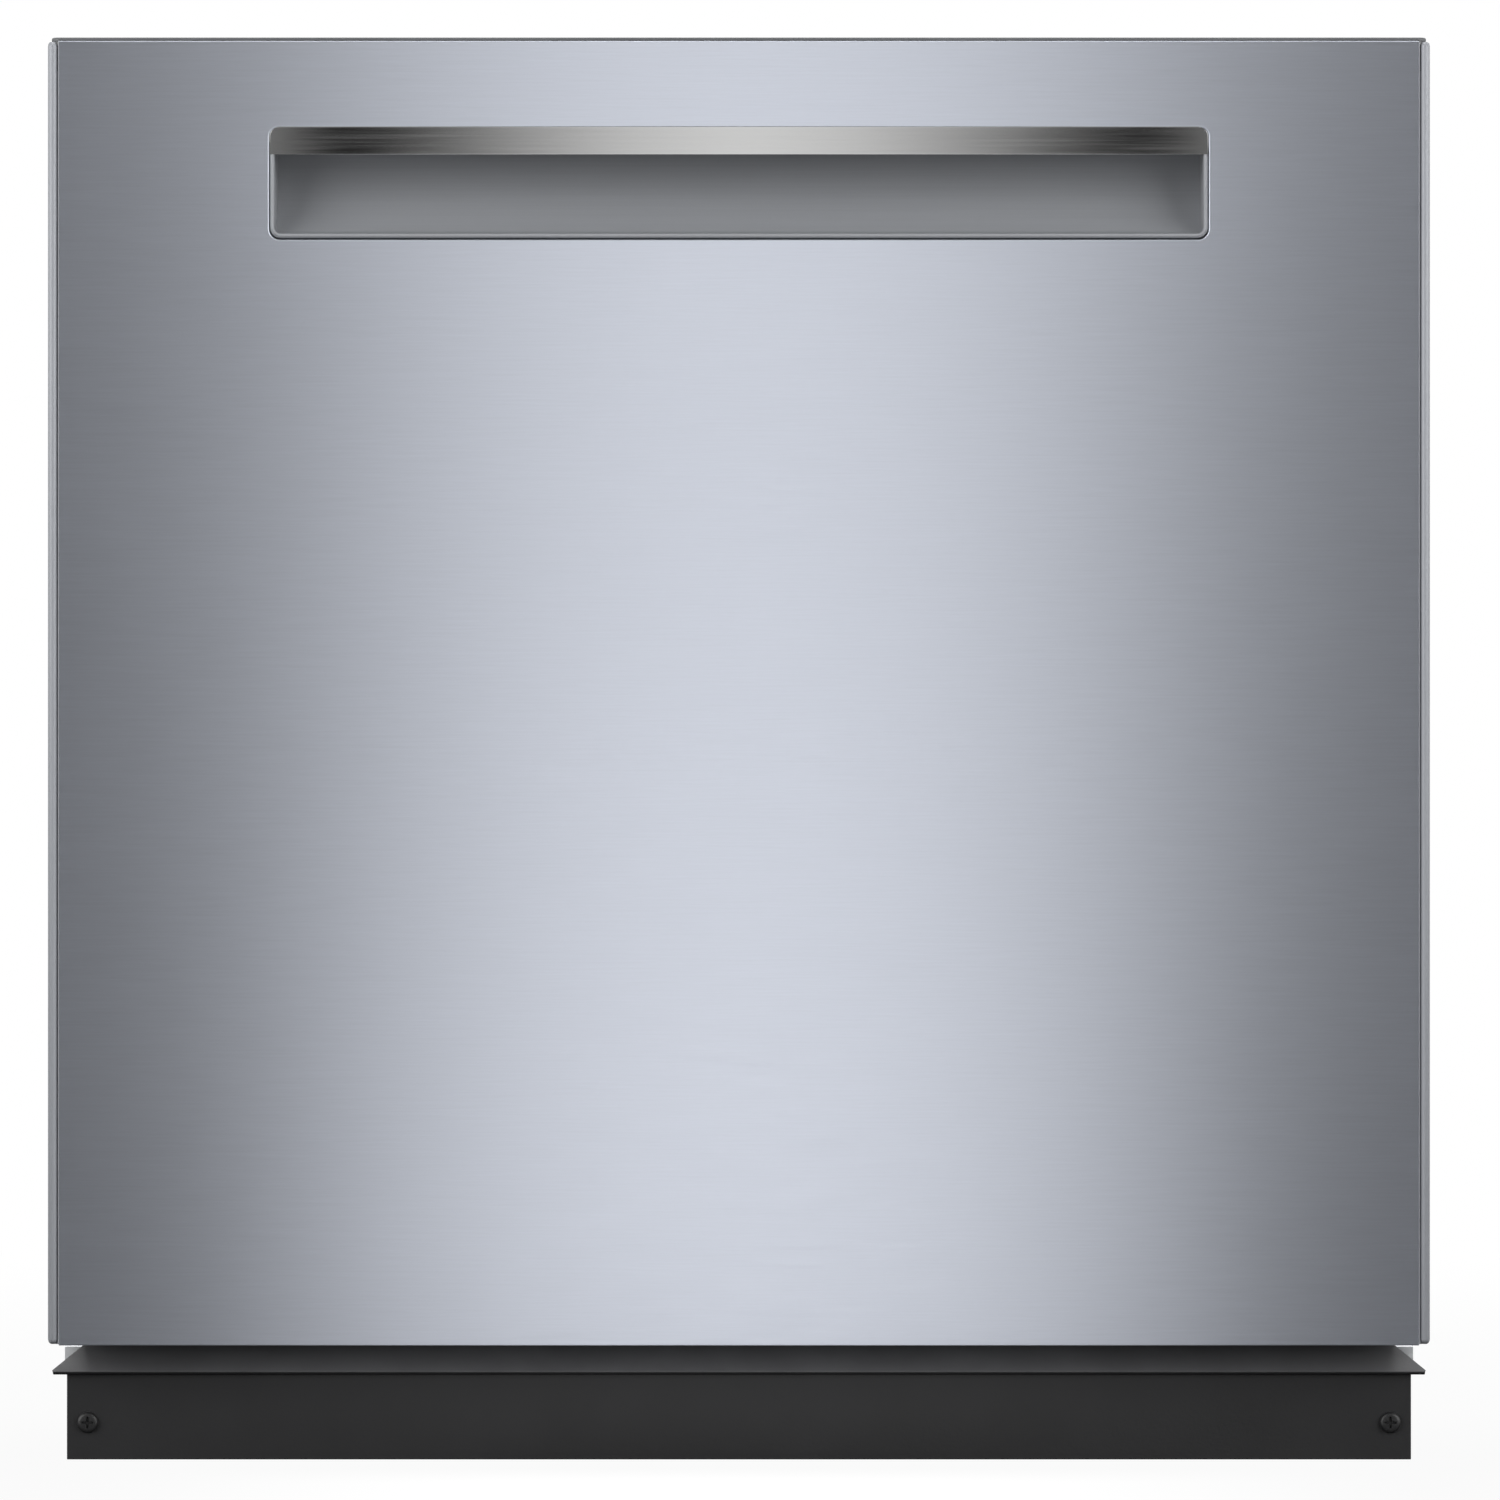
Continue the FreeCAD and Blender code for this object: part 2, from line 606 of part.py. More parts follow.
def hinge_arms():
    """Steel arms inside the door corners that turn on the bracket pins."""
    outline = ((-9, -4), (-4, -9), (6, -9), (28, -11), (37, -9), (38, -3), (34, 1), (14, 8),
               (11, 30), (13, 100), (-11, 100), (-11, 20))
    plate = prism_x([(HINGE_Y + y, HINGE_Z + z) for y, z in outline], 280.6, 283.0)
    plate = plate.cut(rod((279, HINGE_Y, HINGE_Z), (285, HINGE_Y, HINGE_Z), HINGE_BORE_R))
    hook = rod((274.8, -239.2, 60), (280.6, -239.2, 60), 1.8)
    tie = box(272, 280.6, -284.5, -262, 100, 164)
    arm = fused([plate, hook, tie])
    return group([arm, mirrored(arm)])


def door_screws():
    """Torx screws that fix the inner door to the outer pan."""
    screws = []
    for x in (-284.0, 284.0):
        for z in spaced(150, 560, 5):
            head = Part.makeCylinder(4.2, 1.6, V(x, LINER_Y, z), V(0, 1, 0))
            socket = Part.makeCylinder(1.7, 1.2, V(x, LINER_Y + 0.6, z), V(0, 1, 0))
            screws.append(head.cut(socket))
    return group(screws)


# ---------------------------------------------------------------------------
# racks
# ---------------------------------------------------------------------------

def wire_frame(half, y0, y1, z, radius):
    """Rectangular loop of wire at one height."""
    corners = [(-half, y0, z), (half, y0, z), (half, y1, z), (-half, y1, z)]
    return [rod(corners[i], corners[(i + 1) % 4], radius) for i in range(4)]


def basket_wires(half, y0, y1, z_floor, z_rim, across, along):
    """Floor grid, uprights and rims of a wire rack."""
    wires = wire_frame(half, y0, y1, z_rim, RIM_R)
    wires += wire_frame(half, y0, y1, (z_rim + z_floor) / 2, WIRE_R)
    wires += wire_frame(half, y0, y1, z_floor, RIM_R)
    for x in spaced(-half + 18, half - 18, across):
        wires.append(rod((x, y0, z_floor), (x, y1, z_floor), WIRE_R))
        wires.append(rod((x, y0, z_floor), (x, y0, z_rim), WIRE_R))
        wires.append(rod((x, y1, z_floor), (x, y1, z_rim), WIRE_R))
    for y in spaced(y0 + 22, y1 - 22, along):
        wires.append(rod((-half, y, z_floor), (half, y, z_floor), WIRE_R))
        wires.append(rod((half, y, z_floor), (half, y, z_rim), WIRE_R))
        wires.append(rod((-half, y, z_floor), (-half, y, z_rim), WIRE_R))
    return wires


def tine_row(y, z, x0, x1, count, height, lean):
    """One row of plate tines on a carrier wire."""
    wires = [rod((x0 - 6, y, z), (x1 + 6, y, z), WIRE_R)]
    for x in spaced(x0, x1, count):
        wires.append(rod((x, y, z), (x, y + lean, z + height), WIRE_R))
    return wires


def lower_rack():
    """Lower rack of coated wire with two fixed tine rows and wheel axles."""
    y0, y1 = RACK_Y
    wires = basket_wires(LOWER_HALF - RIM_R, y0 + RIM_R, y1 - RIM_R, LOWER_FLOOR_Z,
                         LOWER_RIM_Z, 11, 10)
    z = LOWER_FLOOR_Z + 2 * WIRE_R
    for y in (-160.0, -80.0):
        wires += tine_row(y, z, -205, 139, 12, 72, 10)
    for y in WHEEL_Y:
        plate = box(226.5, 229, y - 9, y + 9, WHEEL_Z - 8, LOWER_FLOOR_Z + 12)
        axle = rod((229, y, WHEEL_Z), (WHEEL_X + 12.4, y, WHEEL_Z), 3.6)
        wires += both_sides([plate, axle])
    return group(wires)


def fold_tines():
    """Fold-down plate tines at the back of the lower rack."""
    z = LOWER_FLOOR_Z + 10
    wires = tine_row(20, z, -205, 139, 12, 70, 6)
    wires += [box(-214, -211, 15, 25, z - 3, z + 3), box(145, 148, 15, 25, z - 3, z + 3)]
    return group(wires)


def wheel(x_inner, side, y):
    """Rack wheel: hub, web, tyre and a bore for the axle."""
    x0 = side * x_inner
    axis = (side, 0, 0)
    tyre = ring((x0, y, WHEEL_Z), axis, WHEEL_R, WHEEL_R - 5, 9)
    web = ring((x0 + side * 3, y, WHEEL_Z), axis, WHEEL_R - 5, 8, 3)
    hub = ring((x0, y, WHEEL_Z), axis, 8, 4.1, 9)
    return fused([tyre, web, hub])


def silverware_basket():
    """Cutlery basket standing along the right side of the lower rack."""
    x0, x1, y0, y1 = 158.0, 218.0, -180.0, 170.0
    z0, z1 = LOWER_FLOOR_Z + 4.5, 280.0
    walls = [box(x0, x1, y0, y0 + 2, z0, z1 - 8), box(x0, x1, y1 - 2, y1, z0, z1 - 8),
             box(x0, x0 + 2, y0, y1, z0, z1 - 8), box(x1 - 2, x1, y0, y1, z0, z1 - 8),
             box(x0, x1, y0, y1, z0, z0 + 2)]
    for y in spaced(y0, y1, 6)[1:-1]:
        walls.append(box(x0 + 2, x1 - 2, y - 1, y + 1, z0 + 2, z1 - 14))
    mid = (x0 + x1) / 2
    walls.append(box(mid - 3, mid + 3, -70, 60, z1 - 2, z1 + 4))
    for y in (-70.0, 52.0):
        walls.append(box(mid - 3, mid + 3, y, y + 8, z1 - 34, z1 - 2))
    return group(walls)


def upper_rack():
    """Upper rack of coated wire with two rows of short tines."""
    y0, y1 = RACK_Y
    wires = basket_wires(UPPER_HALF - RIM_R, y0 + RIM_R, y1 - RIM_R - 6, UPPER_FLOOR_Z,
                         UPPER_RIM_Z, 11, 10)
    z = UPPER_FLOOR_Z + 2 * WIRE_R
    for y in (-90.0, 70.0):
        wires += tine_row(y, z, -120, 200, 11, 44, 8)
    return group(wires)


def upper_rack_runners():
    """Inner rail members bolted to the sides of the upper rack."""
    bar = box(247, 252.5, -200, 222, RAIL_Z - 6, RAIL_Z + 6)
    cap = box(246.6, 253.5, -205, -200, RAIL_Z - 9, RAIL_Z + 9)
    return group(both_sides([bar, cap]))


def middle_rails():
    """Telescopic members that run between the fixed rails and the rack."""
    bar = box(254, 259.5, -212, 230, RAIL_Z - 7.5, RAIL_Z + 7.5)
    tongue = box(259.5, 264.8, -212, 230, RAIL_Z - 7.5, RAIL_Z + 7.5)
    return group(both_sides([bar, tongue]))


def cup_shelf():
    """Fold-up cup shelf on the left side of the upper rack."""
    z = 500.0
    wires = [rod((-238, -150, z), (-238, 150, z), WIRE_R),
             rod((-168, -150, z), (-168, 150, z), WIRE_R)]
    for y in spaced(-150, 150, 9):
        wires.append(rod((-238, y, z), (-168, y, z), WIRE_R))
    return group(wires)


# ---------------------------------------------------------------------------
# spray arms, feed and filter
# ---------------------------------------------------------------------------

def arm_blade(radius, z, thick, root, tip):
    """Two tapering blades of a spray arm with round ends."""
    outline = []
    for i in range(9):
        angle = math.radians(-90 + 22.5 * i)
        outline.append((radius - tip + tip * math.cos(angle), tip * math.sin(angle)))
    half = outline + [(30, root), (-30, root)]
    half += [(-x, -y) for x, y in outline] + [(-30, -root), (30, -root)]
    body = prism_z(half, z, z + thick)
    body.translate(V(0, HUB_Y, 0))
    return body


def spray_arm(radius, z, thick, hub_z, hub_height, nozzle_z):
    body = arm_blade(radius, z, thick, 24, 15)
    hub = Part.makeCylinder(25, hub_height, V(0, HUB_Y, hub_z))
    body = body.fuse(hub)
    for side in (-1, 1):
        for i in range(5):
            x = side * (58 + 32 * i)
            y = side * (7 if i % 2 else -6)
            pip = Part.makeCone(5, 2.6, 2.4, V(x, HUB_Y + y, nozzle_z))
            body = body.fuse(pip)
    return body.removeSplitter()


def lower_spray_arm():
    """Lower spray arm with raised jets, turning on the sump post."""
    arm = spray_arm(LOWER_ARM_R, 122, 11, 114, 24, 133)
    bore = Part.makeCylinder(16, 6, V(0, HUB_Y, 113))
    return arm.cut(bore)


def upper_spray_arm():
    """Upper spray arm hanging under the upper rack."""
    arm = spray_arm(UPPER_ARM_R, 424, 10, 421, 14, 434)
    return arm


def upper_arm_feed():
    """Feed tube under the upper rack, from the rear dock to the arm hub."""
    tube = rounded(box(-13, 13, HUB_Y + 12, 226, 437.5, 451.5), 4, (0, 1, 0))
    hub = Part.makeCylinder(22, 15.5, V(0, HUB_Y, 436))
    mouth = rod((0, 226, 444), (0, 237, 444), 14)
    clips = [box(-20, 20, y, y + 8, 451.5, 453) for y in (70.0, 180.0)]
    return group([tube.cut(hub), hub, mouth] + clips)


def filter_cylinder():
    """Twist-lock coarse filter with a top grip."""
    sieve = ring((FILTER_X, FILTER_Y, 62), (0, 0, 1), FILTER_R - 4, FILTER_R - 5.2, 38)
    floor = Part.makeCylinder(FILTER_R - 4, 2, V(FILTER_X, FILTER_Y, 60))
    rim = ring((FILTER_X, FILTER_Y, 100), (0, 0, 1), FILTER_R, FILTER_R - 6, 5)
    bars = [box(FILTER_X - 3, FILTER_X + 3, FILTER_Y - 29, FILTER_Y + 29, 100, 112)]
    return fused([sieve, floor, rim] + bars)


def leveling_foot(x, y):
    """Levelling foot: threaded stud, lock nut and hexagonal pad."""
    stud = Part.makeCylinder(FOOT_STUD_R, 52, V(x, y, 7))
    pad = Part.makeCylinder(FOOT_PAD_R, 5, V(x, y, 0))
    hexagon = [(x + 9 * math.cos(math.radians(60 * i)), y + 9 * math.sin(math.radians(60 * i)))
               for i in range(6)]
    return fused([pad, prism_z(hexagon, 5, 11), stud])


# ---------------------------------------------------------------------------
# write every node
# ---------------------------------------------------------------------------

save("tub_shell", tub_shell())
save("tub_front_frame", tub_front_frame())
save("tub_gasket", tub_gasket())
left, right = side_panels()[::-1]
save("side_panel_left", left)
save("side_panel_right", right)
save("back_panel", back_panel())
save("top_sound_mat", top_sound_mat())
save("base_tray", base_tray())
save("toe_kick", toe_kick())
save("toe_kick_screws", toe_kick_screws())
save("hinge_brackets", hinge_brackets())
save("countertop_brackets", countertop_brackets())
save("latch_strike", latch_strike())
save("sump_bowl", sump_bowl())
save("fine_filter_plate", fine_filter_plate())
save("circulation_pump", circulation_pump())
save("drain_pump", drain_pump())
save("inlet_valve", inlet_valve())
save("junction_box", junction_box())
save("water_conduit", water_conduit())
save("ceiling_sprinkler", ceiling_sprinkler())
save("fixed_rails", fixed_rails())
save("door_springs", door_springs())
save("door_outer_panel", door_outer_panel())
save("handle_pocket", handle_pocket())
save("handle_grip_lip", handle_grip_lip())
save("door_inner_liner", door_inner_liner())
save("control_strip", control_strip())
save("display_window", display_window())
save("control_module", control_module())
save("dispenser_body", dispenser_body())
save("dispenser_lid", dispenser_lid())
save("rinse_aid_cap", rinse_aid_cap())
save("latch_pawl", latch_pawl())
save("hinge_arms", hinge_arms())
save("door_screws", door_screws())
for name, x in zip(BUTTON_NAMES, BUTTON_X):
    save("button_" + name, button(x))
save("lower_rack", lower_rack())
save("fold_tines", fold_tines())
save("silverware_basket", silverware_basket())
for side_name, side in (("left", -1), ("right", 1)):
    for end_name, y in zip(("front", "rear"), WHEEL_Y):
        save("wheel_%s_%s" % (end_name, side_name), wheel(WHEEL_X, side, y))
save("upper_rack", upper_rack())
save("upper_rack_runners", upper_rack_runners())
save("middle_rails", middle_rails())
save("cup_shelf", cup_shelf())
save("upper_spray_arm", upper_spray_arm())
save("lower_spray_arm", lower_spray_arm())
save("upper_arm_feed", upper_arm_feed())
save("filter_cylinder", filter_cylinder())
for side_name, x in (("left", -FOOT_X), ("right", FOOT_X)):
    for end_name, y in zip(("front", "rear"), FOOT_Y):
        save("foot_%s_%s" % (end_name, side_name), leveling_foot(x, y))
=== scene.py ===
import math

import bmesh
import bpy
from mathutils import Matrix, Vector
from mathutils.geometry import delaunay_2d_cdt


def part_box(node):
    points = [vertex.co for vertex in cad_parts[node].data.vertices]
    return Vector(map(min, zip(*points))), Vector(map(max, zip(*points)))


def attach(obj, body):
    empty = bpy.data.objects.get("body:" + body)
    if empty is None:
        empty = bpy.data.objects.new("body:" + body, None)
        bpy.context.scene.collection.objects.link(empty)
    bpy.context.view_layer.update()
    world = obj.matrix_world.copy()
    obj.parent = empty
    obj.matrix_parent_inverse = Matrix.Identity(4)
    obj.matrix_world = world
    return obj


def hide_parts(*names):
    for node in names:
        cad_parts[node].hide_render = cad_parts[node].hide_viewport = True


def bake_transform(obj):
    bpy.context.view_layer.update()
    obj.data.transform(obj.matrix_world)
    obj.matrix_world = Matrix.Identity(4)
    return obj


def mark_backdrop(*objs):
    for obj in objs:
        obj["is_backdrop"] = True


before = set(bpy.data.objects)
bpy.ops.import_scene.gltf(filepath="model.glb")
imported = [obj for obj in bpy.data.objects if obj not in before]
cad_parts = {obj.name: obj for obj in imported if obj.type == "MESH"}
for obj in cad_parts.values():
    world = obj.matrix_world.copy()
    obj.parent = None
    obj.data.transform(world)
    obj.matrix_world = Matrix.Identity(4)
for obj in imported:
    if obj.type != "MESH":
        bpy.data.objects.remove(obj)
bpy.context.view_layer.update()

MM = 0.001


def extent(node):
    """Lowest and highest corner of a CAD node, in millimetres."""
    low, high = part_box(node)
    return [c / MM for c in low], [c / MM for c in high]


def middle(node):
    return [(a + b) / 2 for a, b in zip(*extent(node))]


# ---- materials ----

FINE = 0.0004       # bump distance of a fine texture, in metres


class Graph:
    """A node tree under construction."""

    def __init__(self, tree):
        self.tree = tree

    def node(self, kind, inputs=None, **settings):
        """New node; each input is a number or the output socket of another node."""
        made = self.tree.nodes.new("ShaderNode" + kind)
        for key, value in settings.items():
            setattr(made, key, value)
        for key, value in (inputs or {}).items():
            if isinstance(value, bpy.types.NodeSocket):
                self.tree.links.new(value, made.inputs[key])
            else:
                made.inputs[key].default_value = value
        return made

    def span(self, value, low, high, source=(0.0, 1.0), kind="LINEAR"):
        """Maps the source range of a value onto low to high."""
        return self.node("MapRange", {"Value": value, "From Min": source[0],
                                      "From Max": source[1], "To Min": low, "To Max": high},
                         interpolation_type=kind).outputs["Result"]

    def calc(self, value, *stages):
        """Runs a value through math nodes: (operation, operand) pairs."""
        for operation, operand in stages:
            inputs = {0: value} if operand is None else {0: value, 1: operand}
            value = self.node("Math", inputs, operation=operation).outputs[0]
        return value

    def ramp(self, value, stops):
        """Colour ramp with (position, colour) stops."""
        made = self.node("ValToRGB", {"Fac": value})
        elements = made.color_ramp.elements
        while len(elements) < len(stops):
            elements.new(0.5)
        for element, (place, color) in zip(elements, stops):
            element.position = place
            element.color = (*color, 1.0)
        return made.outputs["Color"]


def tint(color, factor):
    return tuple(min(1.0, c * factor) for c in color)


class Paint(Graph):
    """A surface material, built up by calls that return the paint itself."""

    def __init__(self, name, color, roughness, metallic=0.0, **sockets):
        self.material = bpy.data.materials.new(name)
        self.material.use_nodes = True
        super().__init__(self.material.node_tree)
        self.base = color
        self.inputs = self.tree.nodes["Principled BSDF"].inputs
        sockets.update(Base_Color=(*color, 1.0), Roughness=roughness, Metallic=metallic)
        for key, value in sockets.items():
            self.inputs[key.replace("_", " ")].default_value = value
        self.coords = self.node("TexCoord").outputs["Object"]

    def scaled(self, scale):
        return self.node("Mapping", {"Vector": self.coords, "Scale": scale}).outputs["Vector"]

    def noise(self, scale, stretch=(1, 1, 1), detail=3.0, rough=0.5):
        return self.node("TexNoise", {"Vector": self.scaled(stretch), "Scale": scale,
                                      "Detail": detail, "Roughness": rough}).outputs["Fac"]

    def cells(self, scale, output="Distance"):
        return self.node("TexVoronoi", {"Vector": self.scaled((1, 1, 1)),
                                        "Scale": scale}).outputs[output]

    def shade(self, value, dark, light, places=(0.3, 0.7)):
        """Colour that runs between two tints of the paint's own."""
        stops = list(zip(places, (tint(self.base, dark), tint(self.base, light))))
        self.tree.links.new(self.ramp(value, stops), self.inputs["Base Color"])
        return self

    def gloss(self, value, low, high, source=(0.0, 1.0)):
        self.tree.links.new(self.span(value, low, high, source), self.inputs["Roughness"])
        return self

    def bump(self, height, strength, distance=FINE):
        made = self.node("Bump", {"Height": height, "Strength": strength,
                                  "Distance": distance})
        if self.inputs["Normal"].links:
            under = self.inputs["Normal"].links[0].from_socket
            self.tree.links.new(under, made.inputs["Normal"])
        self.tree.links.new(made.outputs["Normal"], self.inputs["Normal"])
        return self

    def grain_along(self, axis):
        """Grain round an axis, or along the x direction laid down in a piece's own layer."""
        if axis == "LAYER":
            made = self.node("Tangent", direction_type="UV_MAP", uv_map="grain")
        else:
            made = self.node("Tangent", direction_type="RADIAL", axis=axis)
        self.tree.links.new(made.outputs["Tangent"], self.inputs["Tangent"])
        return self


def brushed(name, color, roughness, anisotropy, stretch, axis="Z", depth=0.02, streak=0.035,
            metallic=1.0):
    """Brushed stainless: fine grain along one direction, soft patches, directional gloss."""
    paint = Paint(name, color, roughness, metallic, Anisotropic=anisotropy,
                  Anisotropic_Rotation=0.25)
    grain = paint.noise(1.0, stretch, 4.0, 0.65)
    paint.shade(grain, 1 - streak, 1 + streak).grain_along(axis)
    paint.gloss(grain, roughness - 0.03, roughness + 0.03, (0.3, 0.7))
    return paint.bump(grain, depth).material


def plastic(name, color, roughness, grain_scale=900.0, depth=0.08, mottling=0.05, **sockets):
    """Moulded plastic: faint mottling and a fine spark-eroded texture."""
    paint = Paint(name, color, roughness, **sockets)
    paint.shade(paint.noise(14.0, detail=4.0), 1 - mottling, 1 + mottling)
    paint.gloss(paint.noise(60.0), roughness - 0.04, roughness + 0.06)
    return paint.bump(paint.noise(grain_scale, detail=2.0), depth).material


def galvanised(name, color):
    """Galvanised sheet: spangle cells that differ in shade and gloss."""
    paint = Paint(name, color, 0.45, 0.9)
    grey = paint.node("RGBToBW", {"Color": paint.cells(90.0, "Color")}).outputs["Val"]
    paint.shade(grey, 0.9, 1.07, (0.1, 0.9)).gloss(grey, 0.37, 0.5)
    return paint.bump(paint.noise(40.0, detail=5.0), 0.05, 0.001).material


def powder(name, color, roughness):
    """Powder coat: fine orange peel."""
    paint = Paint(name, color, roughness, 0.0, Specular_IOR_Level=0.4)
    paint.shade(paint.noise(30.0), 0.9, 1.12)
    return paint.bump(paint.noise(700.0, detail=2.0), 0.12).material


def zinc(name, color):
    """Zinc-plated pressed steel with faint swirls."""
    paint = Paint(name, color, 0.34, 1.0)
    swirl = paint.noise(60.0, (1, 1, 2.5), 6.0, 0.7)
    paint.shade(swirl, 0.8, 1.12).gloss(swirl, 0.26, 0.46, (0.3, 0.7))
    return paint.bump(paint.noise(300.0), 0.05).material


def polished(name, color):
    """Polished stainless bar with faint drawing marks."""
    paint = Paint(name, color, 0.06, 1.0)
    marks = paint.noise(1.0, (20, 900, 900), 3.0)
    return paint.shade(marks, 0.97, 1.03).gloss(marks, 0.04, 0.08, (0.3, 0.7)).material


def rubber(name, color):
    """Dull rubber with a dusty bloom."""
    paint = Paint(name, color, 0.62, Specular_IOR_Level=0.35)
    paint.shade(paint.noise(25.0, detail=5.0), 0.75, 1.35)
    return paint.bump(paint.noise(500.0), 0.15, 0.0006).material


def bitumen(name, color):
    """Sound-deadening mat: dull black with a pressed dimple pattern."""
    paint = Paint(name, color, 0.72)
    paint.shade(paint.noise(18.0, detail=6.0), 0.7, 1.5)
    paint.bump(paint.cells(110.0), 0.5, 0.0012)
    return paint.bump(paint.noise(350.0, detail=4.0), 0.25, 0.0006).material


def lens(name, color):
    """Dark display lens with a faint smoked variation."""
    paint = Paint(name, color, 0.06, Coat_Weight=1.0, Coat_Roughness=0.02)
    return paint.shade(paint.noise(8.0), 1.0, 2.0).material


STEEL = (0.66, 0.665, 0.675)
DOOR_STEEL = brushed("door_steel", (0.625, 0.655, 0.73), 0.36, 1.0, (36, 36, 1100), "LAYER",
                     0.013, 0.03)
POCKET_STEEL = brushed("pocket_steel", (0.252, 0.26, 0.276), 0.5, 0.0, (9, 1200, 1200),
                       depth=0.03, metallic=0.1)
EDGE_STEEL = brushed("edge_steel", (0.275, 0.284, 0.305), 0.45, 0.0, (900, 900, 8),
                     depth=0.01, metallic=0.15)
BRACKET_STEEL = galvanised("bracket_steel", (0.80, 0.815, 0.83))
LIP_STEEL = polished("lip_steel", (0.60, 0.60, 0.597))
TUB_STEEL = brushed("tub_steel", STEEL, 0.3, 0.6, (500, 9, 500), "Y")
LINER_STEEL = brushed("liner_steel", STEEL, 0.3, 0.7, (8, 8, 900))
GALVANISED = galvanised("galvanised_sheet", (0.47, 0.485, 0.50))
ZINC = zinc("zinc_plate", (0.60, 0.61, 0.62))
KICK_BLACK = powder("kick_black", (0.011, 0.011, 0.0118), 0.5)
# the flange gets the plate's black powder coat painted about ten times lighter: painted light
# on a flange that sits in the door's shade
KICK_FLANGE_PAINTED_LIGHT = powder("kick_flange_painted_light", (0.105, 0.105, 0.108), 0.4)
FASCIA_EDGE = powder("fascia_edge", (0.09, 0.093, 0.098), 0.35)
SCREW_BLACK = powder("screw_black", (0.013, 0.013, 0.0135), 0.42)
BASE_BLACK = plastic("base_plastic", (0.028, 0.029, 0.031), 0.5, 500.0, 0.15, 0.12)
FASCIA = plastic("fascia_plastic", (0.022, 0.023, 0.026), 0.28, 1200.0, 0.05, 0.1,
                 Coat_Weight=0.2, Coat_Roughness=0.2)
LENS = lens("display_lens", (0.006, 0.007, 0.009))
BUTTON_GREY = plastic("button_plastic", (0.33, 0.34, 0.36), 0.3, 1200.0, 0.04)
MARK_WHITE = plastic("mark_print", (0.75, 0.77, 0.8), 0.45, 900.0, 0.03)
GREY_PLASTIC = plastic("grey_plastic", (0.30, 0.325, 0.36), 0.38, 800.0, 0.07)
LIGHT_PLASTIC = plastic("light_plastic", (0.47, 0.485, 0.50), 0.38, 800.0, 0.06, 0.03)
SEAL_RUBBER = rubber("seal_rubber", (0.045, 0.046, 0.05))
MAT_BITUMEN = bitumen("mat_bitumen", (0.03, 0.0295, 0.0285))
WIRE_COAT = plastic("wire_coating", (0.27, 0.30, 0.345), 0.32, 600.0, 0.08, 0.06,
                    Coat_Weight=0.25, Coat_Roughness=0.25)


# ---- outlines; every size is in millimetres ----

def levels(first, last, count):
    return [first + (last - first) * i / (count - 1) for i in range(count)]


def turns(steps):
    """Angles of equal steps once round, in radians."""
    return [math.tau * i / steps for i in range(steps)]


def polar(radius, angle, cx=0.0, cy=0.0):
    return (cx + radius * math.cos(angle), cy + radius * math.sin(angle))


def arc(cx, cy, radius, start, end, steps):
    """Points on an arc, by angles in degrees."""
    return [polar(radius, math.radians(a), cx, cy) for a in levels(start, end, steps + 1)]


def circle(cx, cy, radius, steps=24):
    return [polar(radius, a, cx, cy) for a in turns(steps)]


def star(centre, arms, inner, outer):
    """Outline of a cross or star recess with rounded lobes."""
    points = []
    for angle in turns(arms * 8):
        wave = 0.5 + 0.5 * math.cos(angle * arms)
        points.append(polar(inner + (outer - inner) * wave ** 1.6, angle, *centre))
    return points


def corners(u0, u1, v0, v1):
    """Counter-clockwise rectangle."""
    return [(u0, v0), (u1, v0), (u1, v1), (u0, v1)]


def moved(outline, u0, v0, scale=1.0):
    return [(u0 + u * scale, v0 + v * scale) for u, v in outline]


def grown(rect, by, steps=6):
    """Counter-clockwise outline of (u0, u1, v0, v1, radius), grown on all sides."""
    u0, u1, v0, v1, radius = rect
    r = max(radius + by, 0.05)
    places = corners(u0 - by + r, u1 + by - r, v0 - by + r, v1 + by - r)
    return [p for i, start in ((2, 0), (3, 90), (0, 180), (1, 270))
            for p in arc(*places[i], r, start, start + 90, steps)]


def offset_loop(loop, out):
    """A counter-clockwise outline moved outwards, corner by corner."""
    shifted = []
    for (ax, ay), (x, y), (bx, by) in zip(loop[-1:] + loop, loop, loop[1:] + loop[:1]):
        first = Vector((x - ax, y - ay)).normalized()
        second = Vector((bx - x, by - y)).normalized()
        n1, n2 = Vector((first.y, -first.x)), Vector((second.y, -second.x))
        push = (n1 + n2) / max(0.2, 1 + n1.dot(n2)) * out
        shifted.append((x + push.x, y + push.y))
    return shifted


def bend(points, radius, steps=4, closed=False):
    """A wire's route with its corners rounded."""
    points = [Vector(p) for p in points]
    count = len(points)
    route = []
    for i, p in enumerate(points):
        if not closed and i in (0, count - 1):
            route.append(p)
            continue
        a, b = points[i - 1] - p, points[(i + 1) % count] - p
        reach = min(radius, a.length * 0.49, b.length * 0.49)
        start, end = p + a.normalized() * reach, p + b.normalized() * reach
        for j in range(steps + 1):
            t = j / steps
            route.append(start * (1 - t) ** 2 + p * 2 * t * (1 - t) + end * t ** 2)
    return route


def inside(point, loop):
    """True if a point lies within a closed outline."""
    found = False
    for (ax, ay), (bx, by) in zip(loop, loop[1:] + loop[:1]):
        if (ay > point.y) != (by > point.y):
            found ^= point.x < ax + (bx - ax) * (point.y - ay) / (by - ay)
    return found


def front(u, v, depth):
    """(x, z) outline seen from the front, at y = depth."""
    return (u, depth, v)


def plan(u, v, depth):
    """(x, y) outline seen from above, at z = depth."""
    return (u, v, depth)


def side(u, v, depth):
    """(y, z) outline seen from the side, at x = depth."""
    return (depth, u, v)


def lay(outline, place, depth):
    return [place(u, v, depth) for u, v in outline]


# ---- meshes ----

def link(name, data):
    """A new object, linked to the scene."""
    made = bpy.data.objects.new(name, data)
    bpy.context.scene.collection.objects.link(made)
    return made


